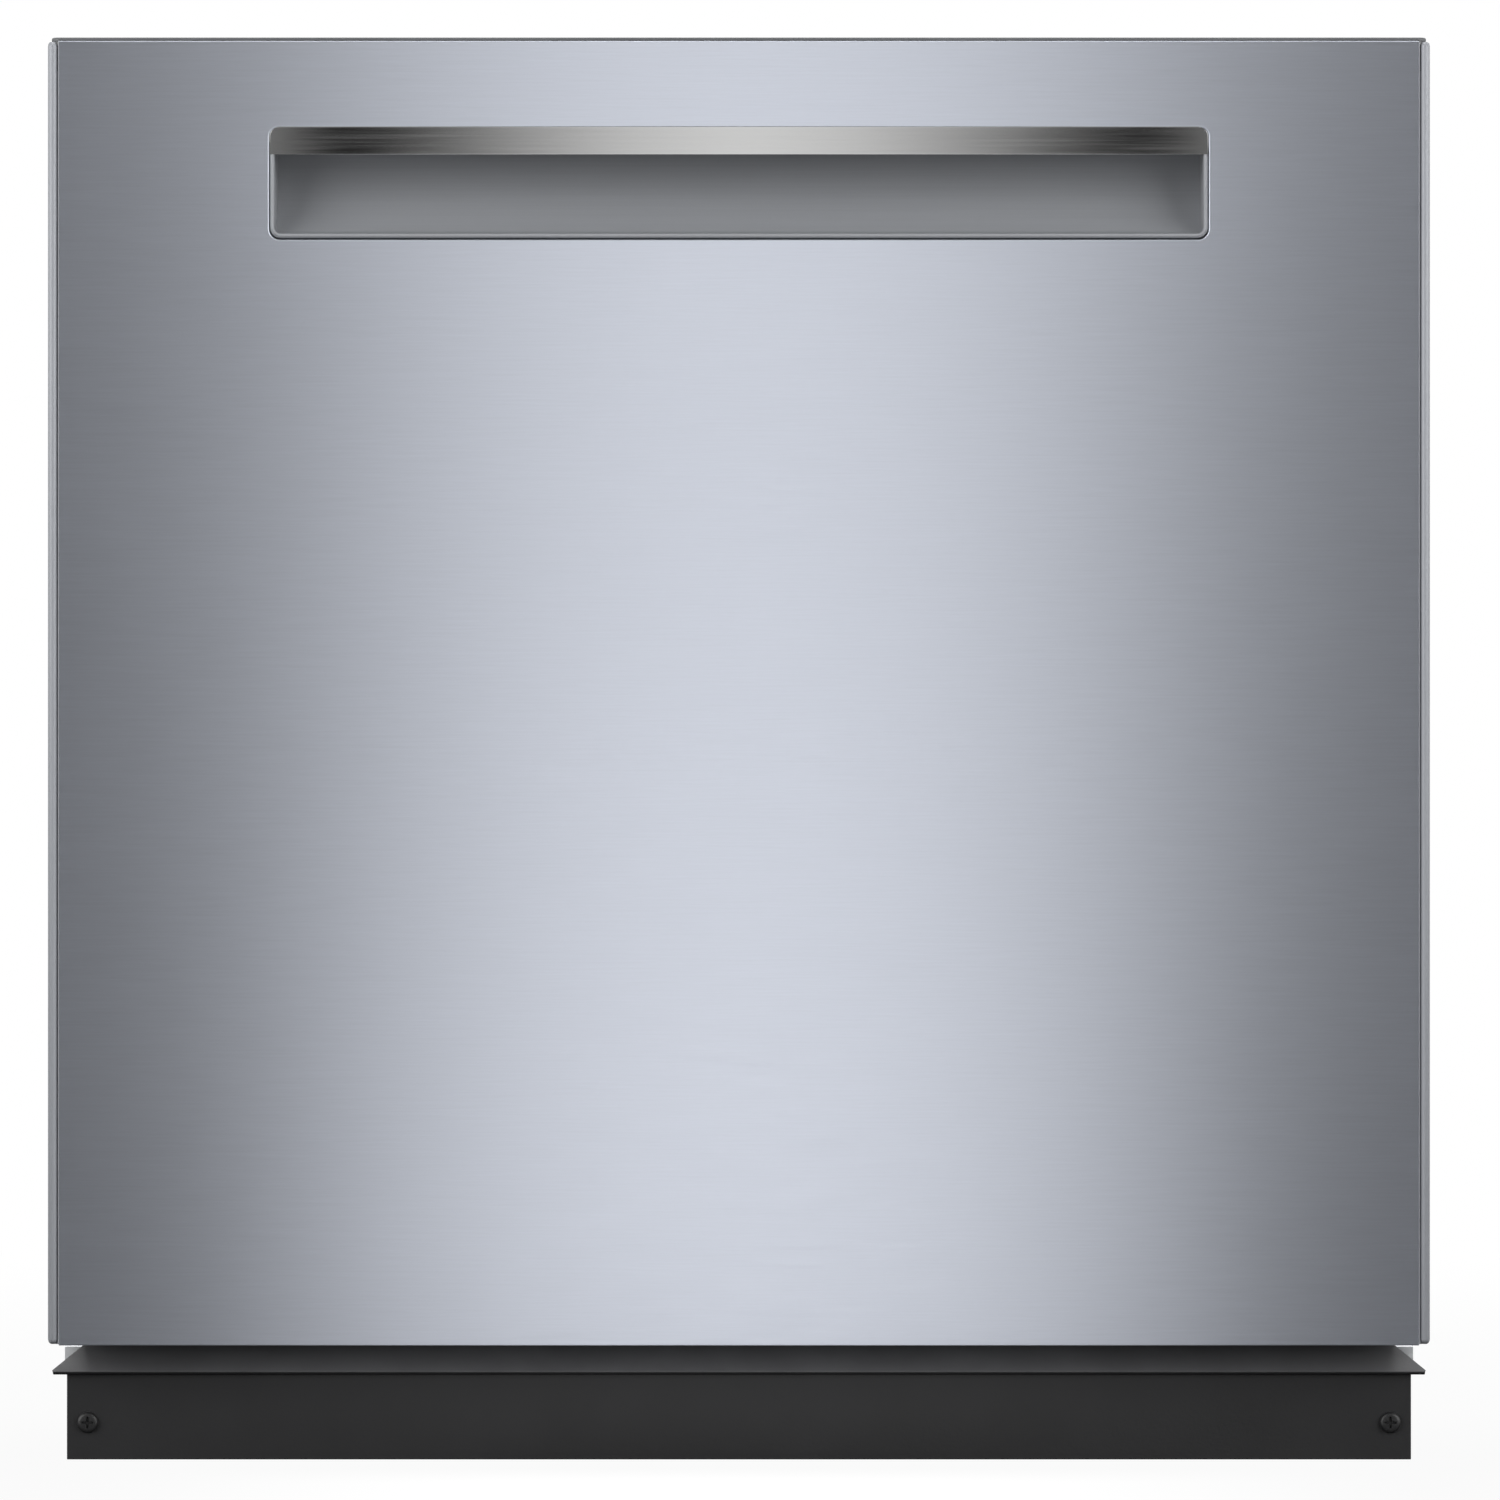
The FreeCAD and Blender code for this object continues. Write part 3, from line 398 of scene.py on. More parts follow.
class Shape:
    """Vertices and faces of one visible piece; paint is each face's material."""

    def __init__(self):
        self.verts = []
        self.faces = []
        self.paint = []

    def add(self, verts, faces, paint=0):
        base = len(self.verts)
        self.verts += [tuple(v) for v in verts]
        self.faces += [tuple(base + i for i in face) for face in faces]
        self.paint += [paint] * len(faces)

    def skin(self, rings, closed=True, caps=(False, False), looped=False, paint=0):
        """Joins rings of equal count into a surface."""
        n = len(rings[0])
        faces = []
        for i in range(len(rings) if looped else len(rings) - 1):
            a, b = i * n, (i + 1) % len(rings) * n
            for j in range(n if closed else n - 1):
                k = (j + 1) % n
                faces.append((a + j, a + k, b + k, b + j))
        if caps[0]:
            faces.append(tuple(reversed(range(n))))
        if caps[1]:
            faces.append(tuple(range((len(rings) - 1) * n, len(rings) * n)))
        self.add([p for ring in rings for p in ring], faces, paint)

    def solid(self, rings, paint=0):
        self.skin(rings, caps=(True, True), paint=paint)

    def strip(self, profile, place, stations, paint=0):
        """An open profile drawn along a row of depths."""
        self.skin([lay(profile, place, d) for d in stations], closed=False, paint=paint)

    def prism(self, outline, place, start, end):
        self.solid([lay(outline, place, d) for d in (start, end)])

    def box(self, low, high):
        self.prism(corners(low[0], high[0], low[1], high[1]), plan, low[2], high[2])

    def plate(self, outline, holes, place, depth, paint=0):
        """Flat sheet at one depth, with open holes."""
        loops = [outline] + list(holes)
        edges, base = [], 0
        for loop in loops:
            n = len(loop)
            edges += [(base + i, base + (i + 1) % n) for i in range(n)]
            base += n
        points, _, faces, *_ = delaunay_2d_cdt([Vector(p) for loop in loops for p in loop],
                                               edges, [], 1, 1e-5)
        kept = []
        for face in faces:
            centre = sum((points[i] for i in face), Vector((0, 0))) / len(face)
            if inside(centre, outline) and not any(inside(centre, h) for h in holes):
                kept.append(face)
        self.add(lay(points, place, depth), kept, paint)

    def steps(self, rect, profile, place, base=0.0, cap=False, corner_steps=6):
        """Surface stepped round a rounded rectangle by (growth, depth from base) pairs."""
        self.skin([lay(grown(rect, g, corner_steps), place, base + d) for g, d in profile],
                  caps=(False, cap))

    def lathe(self, profile, centre, axis, steps=32, paint=0, caps=(True, True)):
        """Turned shape: profile is (radius, height along axis) pairs."""
        turn = Vector((0, 0, 1)).rotation_difference(Vector(axis)).to_matrix()
        centre = Vector(centre)
        self.skin([[centre + turn @ Vector((*polar(radius, a), height)) for a in turns(steps)]
                   for radius, height in profile], caps=caps, paint=paint)

    def hoop(self, profile, centre, axis, steps=48):
        """Turned ring with a closed cross-section."""
        self.lathe(profile + profile[:1], centre, axis, steps, caps=(False, False))

    def tube(self, route, radius, sides=8, closed=False):
        """Round wire along a route, with rounded ends."""
        route = [Vector(p) for p in route]
        count = len(route)
        tangents = []
        for i in range(count):
            before = route[i - 1] if closed or i else route[0]
            after = route[(i + 1) % count] if closed or i < count - 1 else route[-1]
            tangents.append((after - before).normalized())
        previous = tangents[0]
        across = previous.cross(Vector((0.13, 0.31, 0.94)))
        across = across if across.length > 0.1 else previous.orthogonal()
        across.normalize()
        rings = []
        for p, tangent in zip(route, tangents):
            across = previous.rotation_difference(tangent) @ across
            across = (across - tangent * across.dot(tangent)).normalized()
            up = tangent.cross(across)
            previous = tangent
            rings.append([p + radius * (math.cos(a) * across + math.sin(a) * up)
                          for a in turns(sides)])
        if not closed:
            for end, out in ((0, -tangents[0]), (-1, tangents[-1])):
                tip = [[route[end] + (q - route[end]) * scale + out * radius * push
                        for q in rings[end]] for scale, push in ((0.85, 0.35), (0.45, 0.6))]
                rings = rings + tip if end else tip[::-1] + rings
        self.skin(rings, caps=(not closed, not closed), looped=closed)

    def flipped(self):
        """Vertices and faces of the mirror image across the machine's middle plane."""
        return [(-x, y, z) for x, y, z in self.verts], [face[::-1] for face in self.faces]

    def build(self, name, body, materials, slot, replaces=(), bevel=0.0, sharp=35.0,
              thickness=0.0, ride=True):
        mesh = bpy.data.meshes.new(name)
        mesh.from_pydata([Vector(v) * MM for v in self.verts], [], self.faces)
        for material in materials:
            mesh.materials.append(material)
        mesh.polygons.foreach_set("material_index", self.paint)
        work = bmesh.new()
        work.from_mesh(mesh)
        bmesh.ops.remove_doubles(work, verts=work.verts, dist=2e-6)
        bmesh.ops.recalc_face_normals(work, faces=work.faces)
        work.to_mesh(mesh)
        work.free()
        grain = mesh.uv_layers.new(name="grain")
        for corner in mesh.loops:
            x, y, z = mesh.vertices[corner.vertex_index].co
            grain.data[corner.index].uv = (x, y + z)
        mesh.polygons.foreach_set("use_smooth", [True] * len(mesh.polygons))
        mesh.set_sharp_from_angle(angle=math.radians(sharp))
        piece = link(name, mesh)
        if thickness:
            solid = piece.modifiers.new("sheet", "SOLIDIFY")
            solid.thickness = thickness * MM
            solid.offset = 0.0
        if bevel:
            edge = piece.modifiers.new("edges", "BEVEL")
            edge.width = bevel * MM
            edge.segments = 2
            edge.limit_method = "ANGLE"
            edge.angle_limit = math.radians(40)
            edge.harden_normals = False
            shading = piece.modifiers.new("shading", "WEIGHTED_NORMAL")
            shading.keep_sharp = True
        if replaces:
            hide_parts(*replaces)
        if ride:
            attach(piece, body)
        return piece


# ---- door front ----

PANEL_LOW, PANEL_HIGH = extent("door_outer_panel")
LIP_LOW, LIP_HIGH = extent("handle_grip_lip")
POCKET_LOW, POCKET_HIGH = extent("handle_pocket")
DOOR_FRONT, DOOR_HALF = PANEL_LOW[1], PANEL_HIGH[0]
POCKET_FLOOR, LIP_TOP = POCKET_LOW[2], LIP_HIGH[2]
POCKET_EDGE = (-203.2, 203.2, POCKET_FLOOR - 0.2, LIP_TOP + 0.1, 4.5)
SKIN_Y = DOOR_FRONT + 0.3
SKIN_ROLL = 0.4
SKIN_MARGINS = (0.0, 0.2, 3.0)      # level borders keep the shading of the wide face true
FLANGE_HALF = 277.4                 # the bottom flange ends where the hinge brackets stand
BEAD_R = 2.05
LIP_CORNER = 4.3


def door_skin():
    """Outer pan: flat sheet with the handle cut-out, rolled edges and side beads."""
    skin = Shape()
    x1 = DOOR_HALF - 2 * BEAD_R - 0.7
    z0, z1, roll = PANEL_LOW[2], PANEL_HIGH[2], SKIN_ROLL
    borders = [corners(-x1 + m, x1 - m, z0 + roll + m, z1 - roll - m) for m in SKIN_MARGINS]
    skin.skin([lay(border, front, SKIN_Y) for border in borders])
    skin.plate(borders[-1], [grown(POCKET_EDGE, 6.0)], front, SKIN_Y)
    skin.steps(POCKET_EDGE, [(6.0, 0), (4.0, 0), (0.65, 0), (0.5, 0), (0.32, 0.06), (0.15, 0.2),
                             (0.04, 0.45), (0, 0.8), (0, 4.0)], front, SKIN_Y)
    top = arc(SKIN_Y + roll, z1 - roll, roll, 180, 90, 5) + [(SKIN_Y + 4, z1)]
    bottom = arc(SKIN_Y + roll, z0 + roll, roll, 180, 270, 5)
    flange = [(SKIN_Y + roll, z0), (PANEL_HIGH[1], z0)]
    for profile, half in ((top, x1), (bottom, x1), (flange, FLANGE_HALF)):
        skin.strip(profile, side, (-half, half))
    bead_x, bead_y = DOOR_HALF - BEAD_R, DOOR_FRONT + BEAD_R
    groove = moved([(0, 0), (0.25, 0.1), (0.4, 0.5), (0.4, 1.6), (0.7, 1.6)], x1, SKIN_Y)
    bead = arc(bead_x, bead_y, BEAD_R, 187, 360, 14)
    bead += [(DOOR_HALF, DOOR_FRONT + 12), (DOOR_HALF, PANEL_HIGH[1])]
    rings = []
    for z, shrink in ((z0 + 0.5, 0.55), (z0 + 0.9, 0.3), (z0 + 1.6, 0.1), (z0 + 2.6, 0.0),
                      (z1 - 2.2, 0.0), (z1 - 1.2, 0.08), (z1 - 0.5, 0.25), (z1 - 0.2, 0.5)):
        rings.append(lay(groove + [
            (x + (bead_x - x) * shrink,
             y + ((bead_y + 3 - y) * shrink if y < bead_y + 3 else 0)) for x, y in bead],
            plan, z))
    member = Shape()
    member.skin(rings, closed=False)
    skin.add(member.verts, member.faces, 1)
    skin.add(*member.flipped(), 1)
    skin.build("door_skin", "door", [DOOR_STEEL, EDGE_STEEL], "stainless_brushed",
               ["door_outer_panel"], sharp=50)


def handle_parts():
    """Formed pocket with its rim, and the polished bar that fingers pull on."""
    pocket = Shape()
    half = 200.9
    floor_z, back_y, top_z = POCKET_FLOOR + 2.6, POCKET_HIGH[1] - 1.2, LIP_TOP - 1.8
    rim = (-half, half, floor_z, LIP_TOP - 1.5, 2.6)
    face = DOOR_FRONT + 0.35
    pocket.steps(rim, [(2.1, 4.0), (2.1, 1.0), (1.75, 0.35), (1.1, 0), (0.5, 0.15), (0.1, 0.7),
                       (0, 1.6), (0, 2.6)], front, face)
    front_y, high = face + 1.6, top_z - 6
    profile = [(front_y + (back_y - front_y) * math.sin(math.radians(a)),
                high - (high - floor_z - 0.1) * math.cos(math.radians(a)))
               for a in levels(0, 90, 25)]
    profile += arc(back_y - 5, top_z - 5, 5, 0, 90, 5)
    profile.append((face + 4.0, top_z))
    pocket.strip(profile, side, levels(-half, half, 9))
    for x in (-half, half):
        pocket.plate(profile, [], side, x)
    pocket.build("pocket_shell", "door", [POCKET_STEEL], "stainless_brushed",
                 ["handle_pocket"], sharp=40)
    lip = Shape()
    x1, r = LIP_HIGH[0], LIP_CORNER
    outline = arc(-x1 + r, LIP_TOP - r, r, 180, 90, 5) + arc(x1 - r, LIP_TOP - r, r, 90, 0, 5)
    outline += [(x1, LIP_LOW[2]), (-x1, LIP_LOW[2])]
    lip.prism(outline, front, LIP_LOW[1] + 0.15, LIP_HIGH[1])
    lip.build("grip_lip", "door", [LIP_STEEL], "stainless_bright", ["handle_grip_lip"],
              bevel=0.12)


# ---- kick plate and screws ----

KICK_FACE = -257.5
KICK_BACK = -256.2
KICK_HALF = 292.8
KICK_TOP = 38.4
FLANGE_TIP = 298.6
SCREW_X, SCREW_Z = 283.7, 16.7


def screw_head(shape, centre, y, out, radius, height, recess, deep):
    """Pan head standing on a face at y, with a sunk recess; out is -1 or 1 along y."""
    cx, cz = centre
    rows = ((1.0, 0.0), (1.0, 0.45), (0.94, 0.75), (0.82, 0.93), (0.68, 1.0))
    shape.skin([lay(circle(cx, cz, radius * r), front, y + out * height * h)
                for r, h in rows])
    top = y + out * height
    shape.plate(circle(cx, cz, radius * rows[-1][0]), [recess], front, top)
    floor = [(cx + (u - cx) * 0.8, cz + (v - cz) * 0.8) for u, v in recess]
    shape.skin([lay(recess, front, top), lay(floor, front, top - out * deep)],
               caps=(False, True))


def kick_plate():
    """Black plate with a rounded bend, a roof-like flange and three stiffening webs."""
    kick = Shape()
    kick.box((-KICK_HALF, KICK_FACE, extent("toe_kick")[0][2]),
             (KICK_HALF, KICK_BACK, KICK_TOP))
    for x in (-180.0, 0.0, 180.0):
        kick.box((x - 1, KICK_BACK, 12), (x + 1, -234, 36))
    section = [(KICK_FACE, 37.7), (-260.6, 37.7), (-261.6, 38.1), (-262.0, 39.0),
               (-261.6, 39.5), (-248.8, 50.9), (-248.2, 50.2), (-260.3, 39.3),
               (KICK_BACK, KICK_TOP)]
    kick.solid([[(sign * (FLANGE_TIP - max(0.0, z - 39.5) * 1.2), y, z) for y, z in section]
                for sign in (-1, 1)])
    # flange faces take the lighter copy of the black coat: painted light where the door's
    # overhang shades the flange
    for i, face in enumerate(kick.faces):
        if all(kick.verts[k][2] > 38.9 and kick.verts[k][1] < -247 for k in face):
            kick.paint[i] = 1
    kick.build("kick_plate", "cabinet", [KICK_BLACK, KICK_FLANGE_PAINTED_LIGHT], "kick_black", ["toe_kick"],
               bevel=0.3, sharp=40)
    screws = Shape()
    for x in (-SCREW_X, SCREW_X):
        screw_head(screws, (x, SCREW_Z), KICK_FACE, -1, 4.6, 2.3,
                   star((x, SCREW_Z), 4, 0.9, 2.7), 1.2)
        screws.lathe([(1.9, 0), (1.9, 8.5), (0.6, 9.8)], (x, -256.4, SCREW_Z), (0, 1, 0), 16)
    screws.build("kick_screws", "cabinet", [SCREW_BLACK], "screw_black", ["toe_kick_screws"])


# ---- control fascia ----

KEYS = ("power", "programme", "half_load", "drying", "start")
STRIP_R = 4.2
PRINT_LIFT = 0.06
MARK_ASIDE = 18                 # a key's printed mark stands this far to its right
DOT_X, DOT_PITCH, DOT_R = 70, 9, 1.1
KEY_SKIRT = (611.8, 613.0)      # the collar under each key cap


def glyph(name):
    """Strokes of a plain pictogram, each a list of (u, v) points about its middle."""
    if name == "power":
        return [arc(0, 0, 2.4, 125, 415, 18), [(0, 0.6), (0, 3.2)]]
    if name == "programme":
        return [[(-2.6, 2), (2.6, 2)], [(-2.6, 0), (2.6, 0)], [(-2.6, -2), (1.0, -2)]]
    if name == "half_load":
        return [arc(0, 0, 2.5, 0, 360, 20), arc(0, 0, 1.3, 90, 270, 8), [(0, 2.5), (0, -2.5)]]
    if name == "drying":
        wave = [(x * 0.5, math.sin(x) * 0.5) for x in levels(-5, 5, 15)]
        return [[(u, v + up) for u, v in wave] for up in (-1.7, 0.0, 1.7)]
    return [[(-1.6, -2.4), (2.6, 0), (-1.6, 2.4), (-1.6, -2.4)]]


def stroke(shape, points, place, depth, width, paint=0):
    """Flat printed line along points."""
    rows = []
    for before, (u, v), after in zip(points[:1] + points, points, points[1:] + points[-1:]):
        along = Vector((after[0] - before[0], after[1] - before[1])).normalized()
        out = Vector((-along.y, along.x)) * width / 2
        rows.append(lay([(u + out.x, v + out.y), (u - out.x, v - out.y)], place, depth))
    shape.skin(rows, closed=False, paint=paint)


def fascia_strip(wells, pane):
    """Black strip with rounded ends, wells for the keys and the lens, and printed marks."""
    low, high = extent("control_strip")
    top = high[2]
    rect = (low[0], high[0], low[1], high[1], STRIP_R)
    openings = [((x - 10.2, x + 10.2, y - 5.7, y + 5.7, 3.0), 7.0) for x, y in wells]
    openings.append(((pane[0] - 0.3, pane[1] + 0.3, pane[2] - 0.3, pane[3] + 0.3, 2.2), 1.4))
    strip = Shape()
    strip.plate(grown(rect, -1.2), [grown(o, 0.5) for o, _ in openings], plan, top)
    strip.steps(rect, [(-1.2, top), (-0.5, top - 0.15), (-0.12, top - 0.55), (0, top - 1.3),
                       (0, low[2]), (-2.6, low[2]), (-2.6, top - 2.6)], plan)
    for opening, deep in openings:
        strip.steps(opening, [(0.5, 0), (0.15, -0.12), (0, -0.5), (0, -deep), (-0.6, -deep)],
                    plan, top)
    for name, (x, y) in zip(KEYS, wells):
        for line in glyph(name):
            stroke(strip, moved(line, x + MARK_ASIDE, y), plan, top + PRINT_LIFT, 0.55, 1)
    for i in range(3):
        dot = circle(DOT_X + DOT_PITCH * i, wells[0][1], DOT_R, 16)
        strip.plate(dot, [], plan, top + PRINT_LIFT, 1)
    ridge = moved([(0.2, -1.4), (0, -0.6), (0.1, 0.2), (0.5, 0.5), (1.2, 0.5), (1.8, 0.1),
                   (2.0, -0.3)], low[1], top)
    half = high[0] - 3.6
    strip.strip(ridge, side, (-half, half), 2)
    for sign in (-1, 1):
        rings = []
        for turn in (math.radians(a) for a in levels(0, 80, 7)):
            rings.append([(sign * (half + (STRIP_R - (y - low[1])) * math.sin(turn) * 0.9),
                           low[1] + STRIP_R - (STRIP_R - (y - low[1])) * math.cos(turn), z)
                          for y, z in ridge])
        strip.skin(rings, closed=False, paint=2)
    strip.build("control_fascia", "door", [FASCIA, MARK_WHITE, FASCIA_EDGE], "fascia_black",
                ["control_strip"], sharp=50)


def key_cap(name, x, y):
    top = extent("button_" + name)[1][2]
    key = Shape()
    skirt, shoulder = KEY_SKIRT
    key.steps((x - 9.6, x + 9.6, y - 5.1, y + 5.1, 2.6),
              [(0, skirt), (1.9, skirt), (1.9, shoulder), (0, shoulder), (0, top - 0.9),
               (-0.15, top - 0.4), (-0.5, top - 0.1), (-1.0, top), (-2.0, top - 0.12),
               (-2.6, top - 0.3)], plan, cap=True)
    if name in ("power", "start"):
        for line in glyph(name):
            stroke(key, moved(line, x, y, 0.8), plan, top - 0.24, 0.5, 1)
    key.build("key_cap_" + name, "key_" + name, [BUTTON_GREY, MARK_WHITE], "button_grey",
              ["button_" + name], sharp=50)


def control_fascia():
    wells = [middle("button_" + name)[:2] for name in KEYS]
    low, high = extent("display_window")
    pane = (low[0], high[0], low[1], high[1], 2.0)
    fascia_strip(wells, pane)
    for name, (x, y) in zip(KEYS, wells):
        key_cap(name, x, y)
    window = Shape()
    window.steps(pane, [(0, low[2]), (0, high[2] - 0.35), (-0.1, high[2] - 0.1),
                        (-0.4, high[2])], plan, cap=True)
    window.build("display_lens", "door", [LENS], "lens_dark", ["display_window"])


# ---- inner door and dispenser ----

LINER_FACE = -240.0
HINGE_NOTCH = (278, 68, 108)        # half width, bottom and top of the cut-back foot
FOLD_HALF = 277.9                   # half width of the sheet folded under that foot
DISH_FACE = -234.4
DISH_BACK = -236
RINSE_X, RINSE_Z = 22, 352
INWARDS = (0, 1, 0)


def inner_door():
    """Inner door sheet: rolled edges, hinge notches and a raised field."""
    (_, back, _), (half, field_y, top) = extent("door_inner_liner")
    face = LINER_FACE
    foot, z0, z1 = HINGE_NOTCH
    outline = [(-foot, z0), (foot, z0), (foot, z1), (half, z1), (half, top), (20, top),
               (20, 593), (-20, 593), (-20, top), (-half, top), (-half, z1), (-foot, z1)]
    field = (-260, 260, 114, 580, 20)
    window = (-100.5, 60.5, 304.5, 400.5, 6)
    channels = [(-236, 236, 420, 556, 16), (-236, 236, 138, 282, 16)]
    liner = Shape()
    liner.plate(offset_loop(outline, -2.0), [grown(field, 1.5, 8)], front, face)
    rows = ((-2.0, face), (-1.2, face - 0.15), (-0.4, face - 0.7), (0, face - 1.8), (0, back))
    liner.skin([lay(offset_loop(outline, out), front, y) for out, y in rows])
    fold = [(face, 70.0), (face - 0.6, 67.2), (face - 7.6, 55.0), (face - 8.8, 53.9),
            (back, 53.4)]
    liner.skin([[(x, y, z) for x in (-FOLD_HALF, FOLD_HALF)] for y, z in fold], closed=False)
    liner.steps(field, [(1.5, face), (0.9, face + 0.15), (0.2, face + 0.8), (-2.4, face + 3.1),
                        (-3.3, face + 3.75), (-4.6, field_y)], front, corner_steps=8)
    holes = [grown(channel, 1.2) for channel in channels] + [grown(window, 0.6)]
    liner.plate(grown(field, -4.6, 8), holes, front, field_y)
    for rect in channels:
        liner.steps(rect, [(1.2, 0), (0.4, -0.15), (-1.2, -1.2), (-2.2, -1.5)], front, field_y)
        liner.plate(grown(rect, -2.2), [], front, field_y - 1.5)
    liner.steps(window, [(0.6, 0), (0, -0.6), (0, -4)], front, field_y)
    liner.build("inner_door", "door", [LINER_STEEL], "stainless_tub", ["door_inner_liner"],
                sharp=40)
    screws = Shape()
    for x in (-284.0, 284.0):
        for z in levels(150, 560, 5):
            screw_head(screws, (x, z), face, 1, 4.2, 1.6, star((x, z), 6, 1.2, 1.9), 1.0)
    screws.build("liner_screws", "door", [ZINC], "steel_zinc", ["door_screws"])


def dispenser_housing():
    """Detergent chamber, rinse-aid well, level window and lid hinge lugs."""
    rim = (-104, 64, 301, 404, 8)
    tank = (-93, -19, 315, 391, 8)
    dot_x, dot_z = 48.0, 386.0
    flat = DISH_FACE
    body = Shape()
    body.steps(rim, [(0, DISH_BACK), (0, flat - 0.7), (-0.2, flat - 0.25), (-0.8, flat)],
               front)
    body.plate(grown(rim, -0.8), [grown(tank, 0.7), circle(RINSE_X, RINSE_Z, 16.2, 32),
                                  circle(dot_x, dot_z, 3.2, 16)], front, flat)
    body.steps(tank, [(0.7, 0), (0.15, -0.3), (0, -1), (-0.6, -18), (-3, -22.5), (-7, -23.4)],
               front, flat, cap=True)
    well = (RINSE_X, flat, RINSE_Z)
    body.lathe([(16.2, 0), (15.4, -0.4), (15, -1), (15, -21), (12, -21.5)], well, INWARDS,
               caps=(False, True))
    body.lathe([(3.2, 0), (2.6, -0.9)], (dot_x, flat, dot_z), INWARDS, 16, 1, (False, True))
    body.lathe([(19, -0.2), (19, 1.4), (19.3, 1.6), (20.7, 1.6), (21, 1.4), (21, -0.2)], well,
               INWARDS, 40, caps=(False, False))
    lug = ((21, flat), (24, flat), (24, flat + 0.8), (21, flat + 1.2))
    for start in (150, 330):
        rings = []
        for angle in (math.radians(a) for a in levels(start, start + 60, 9)):
            rings.append([front(*polar(r, angle, RINSE_X, RINSE_Z), y) for r, y in lug])
        body.solid(rings)
    hinge = [(DISH_BACK, 303), (-229.4, 303), (-229, 303.6), (-229, 308.4), (-229.9, 309.5),
             (DISH_BACK, 309.5)]
    for x in (-100.5, -11.5):
        body.prism(hinge, side, x - 1.4, x + 1.4)
    body.steps((-99.8, 59.8, 305.2, 399.8, 5.8),
               [(0, DISH_BACK), (0, -260.8), (-0.7, -261.5)], front, cap=True)
    body.build("dispenser_housing", "door", [GREY_PLASTIC, LENS], "light_plastic",
               ["dispenser_body"], sharp=40)


def dispenser_flap():
    """Flip lid with its hinge barrel and knuckles, a ribbed thumb catch and a mark."""
    lid = Shape()
    rect = (-97, -15, 309, 395, 6)
    lid.steps(rect, [(-2.2, -233.8), (-0.4, -233.7), (0, -233.2), (0, -232.2), (-0.4, -231.6),
                     (-1.2, -231.3), (-6, -231.25), (-6.6, -231.6), (-8.0, -231.8)], front,
              cap=True)
    lid.plate(grown(rect, -2.2), [], front, -233.8)
    lid.lathe([(1.8, 0), (2.3, 0.5), (2.3, 84.5), (1.8, 85)], (-98.5, -231.6, 306.4),
              (1, 0, 0), 18)
    knuckle = [(-233.4, 306.4), (-231.5, 306.4), (-231.4, 312), (-233.4, 312)]
    for x in (-90.0, -34.0):
        lid.prism(knuckle, side, x, x + 12)
    lid.prism([(-231.8, 384), (-229.6, 384.4), (-229.2, 385.2), (-229.2, 392), (-229.8, 393),
               (-231.8, 393)], side, -62, -50)
    for x in levels(-59.5, -52.5, 4):
        lid.box((x - 0.4, -229.4, 385.4), (x + 0.4, -229.0, 392.0))
    stroke(lid, [(-56, 378), (-52.5, 373.5), (-59.5, 373.5), (-56, 378)], front, -231.75, 0.6)
    lid.build("dispenser_flap", "detergent_lid", [LIGHT_PLASTIC], "grey_plastic",
              ["dispenser_lid"], bevel=0.2)


def rinse_knob():
    """Rinse-aid cap: a knurled rim and a raised grip bar."""
    cap = Shape()
    rings = []
    for radius, y, share in ((14.4, -248, 0), (14.4, -234, 0), (17.8, -234, 0.4),
                             (18.1, -233.5, 1), (18.1, -231.7, 1), (17.6, -231.0, 0.4),
                             (16.6, -230.8, 0), (12.5, -230.9, 0)):
        swell = 0.22 * share
        rings.append([front(*polar(radius + (swell if i % 4 < 2 else -swell), angle, RINSE_X,
                                   RINSE_Z), y) for i, angle in enumerate(turns(96))])
    cap.solid(rings)
    cap.steps((19.2, 24.8, 337.2, 366.8, 2.6),
              [(0.8, -230.9), (0.2, -230.4), (0, -229.6), (-0.2, -228.1), (-0.8, -227.5),
               (-1.6, -227.4)], front, cap=True)
    cap.build("rinse_cap_knob", "rinse_cap", [GREY_PLASTIC], "grey_plastic",
              ["rinse_aid_cap"], sharp=40)


# ---- tub, seal and outside sheets ----

TUB = (-268, 268, 104, 590, 24)
TUB_MOUTH = -232.0
TUB_FLOOR = 104.0
TUB_STRAIGHT = 236      # the walls are straight up to here, then turn into the back
TUB_BACK = 262
HUB_Y = 15.0
SUMP_R = 118.0
UP = (0, 0, 1)
OPEN = (False, False)


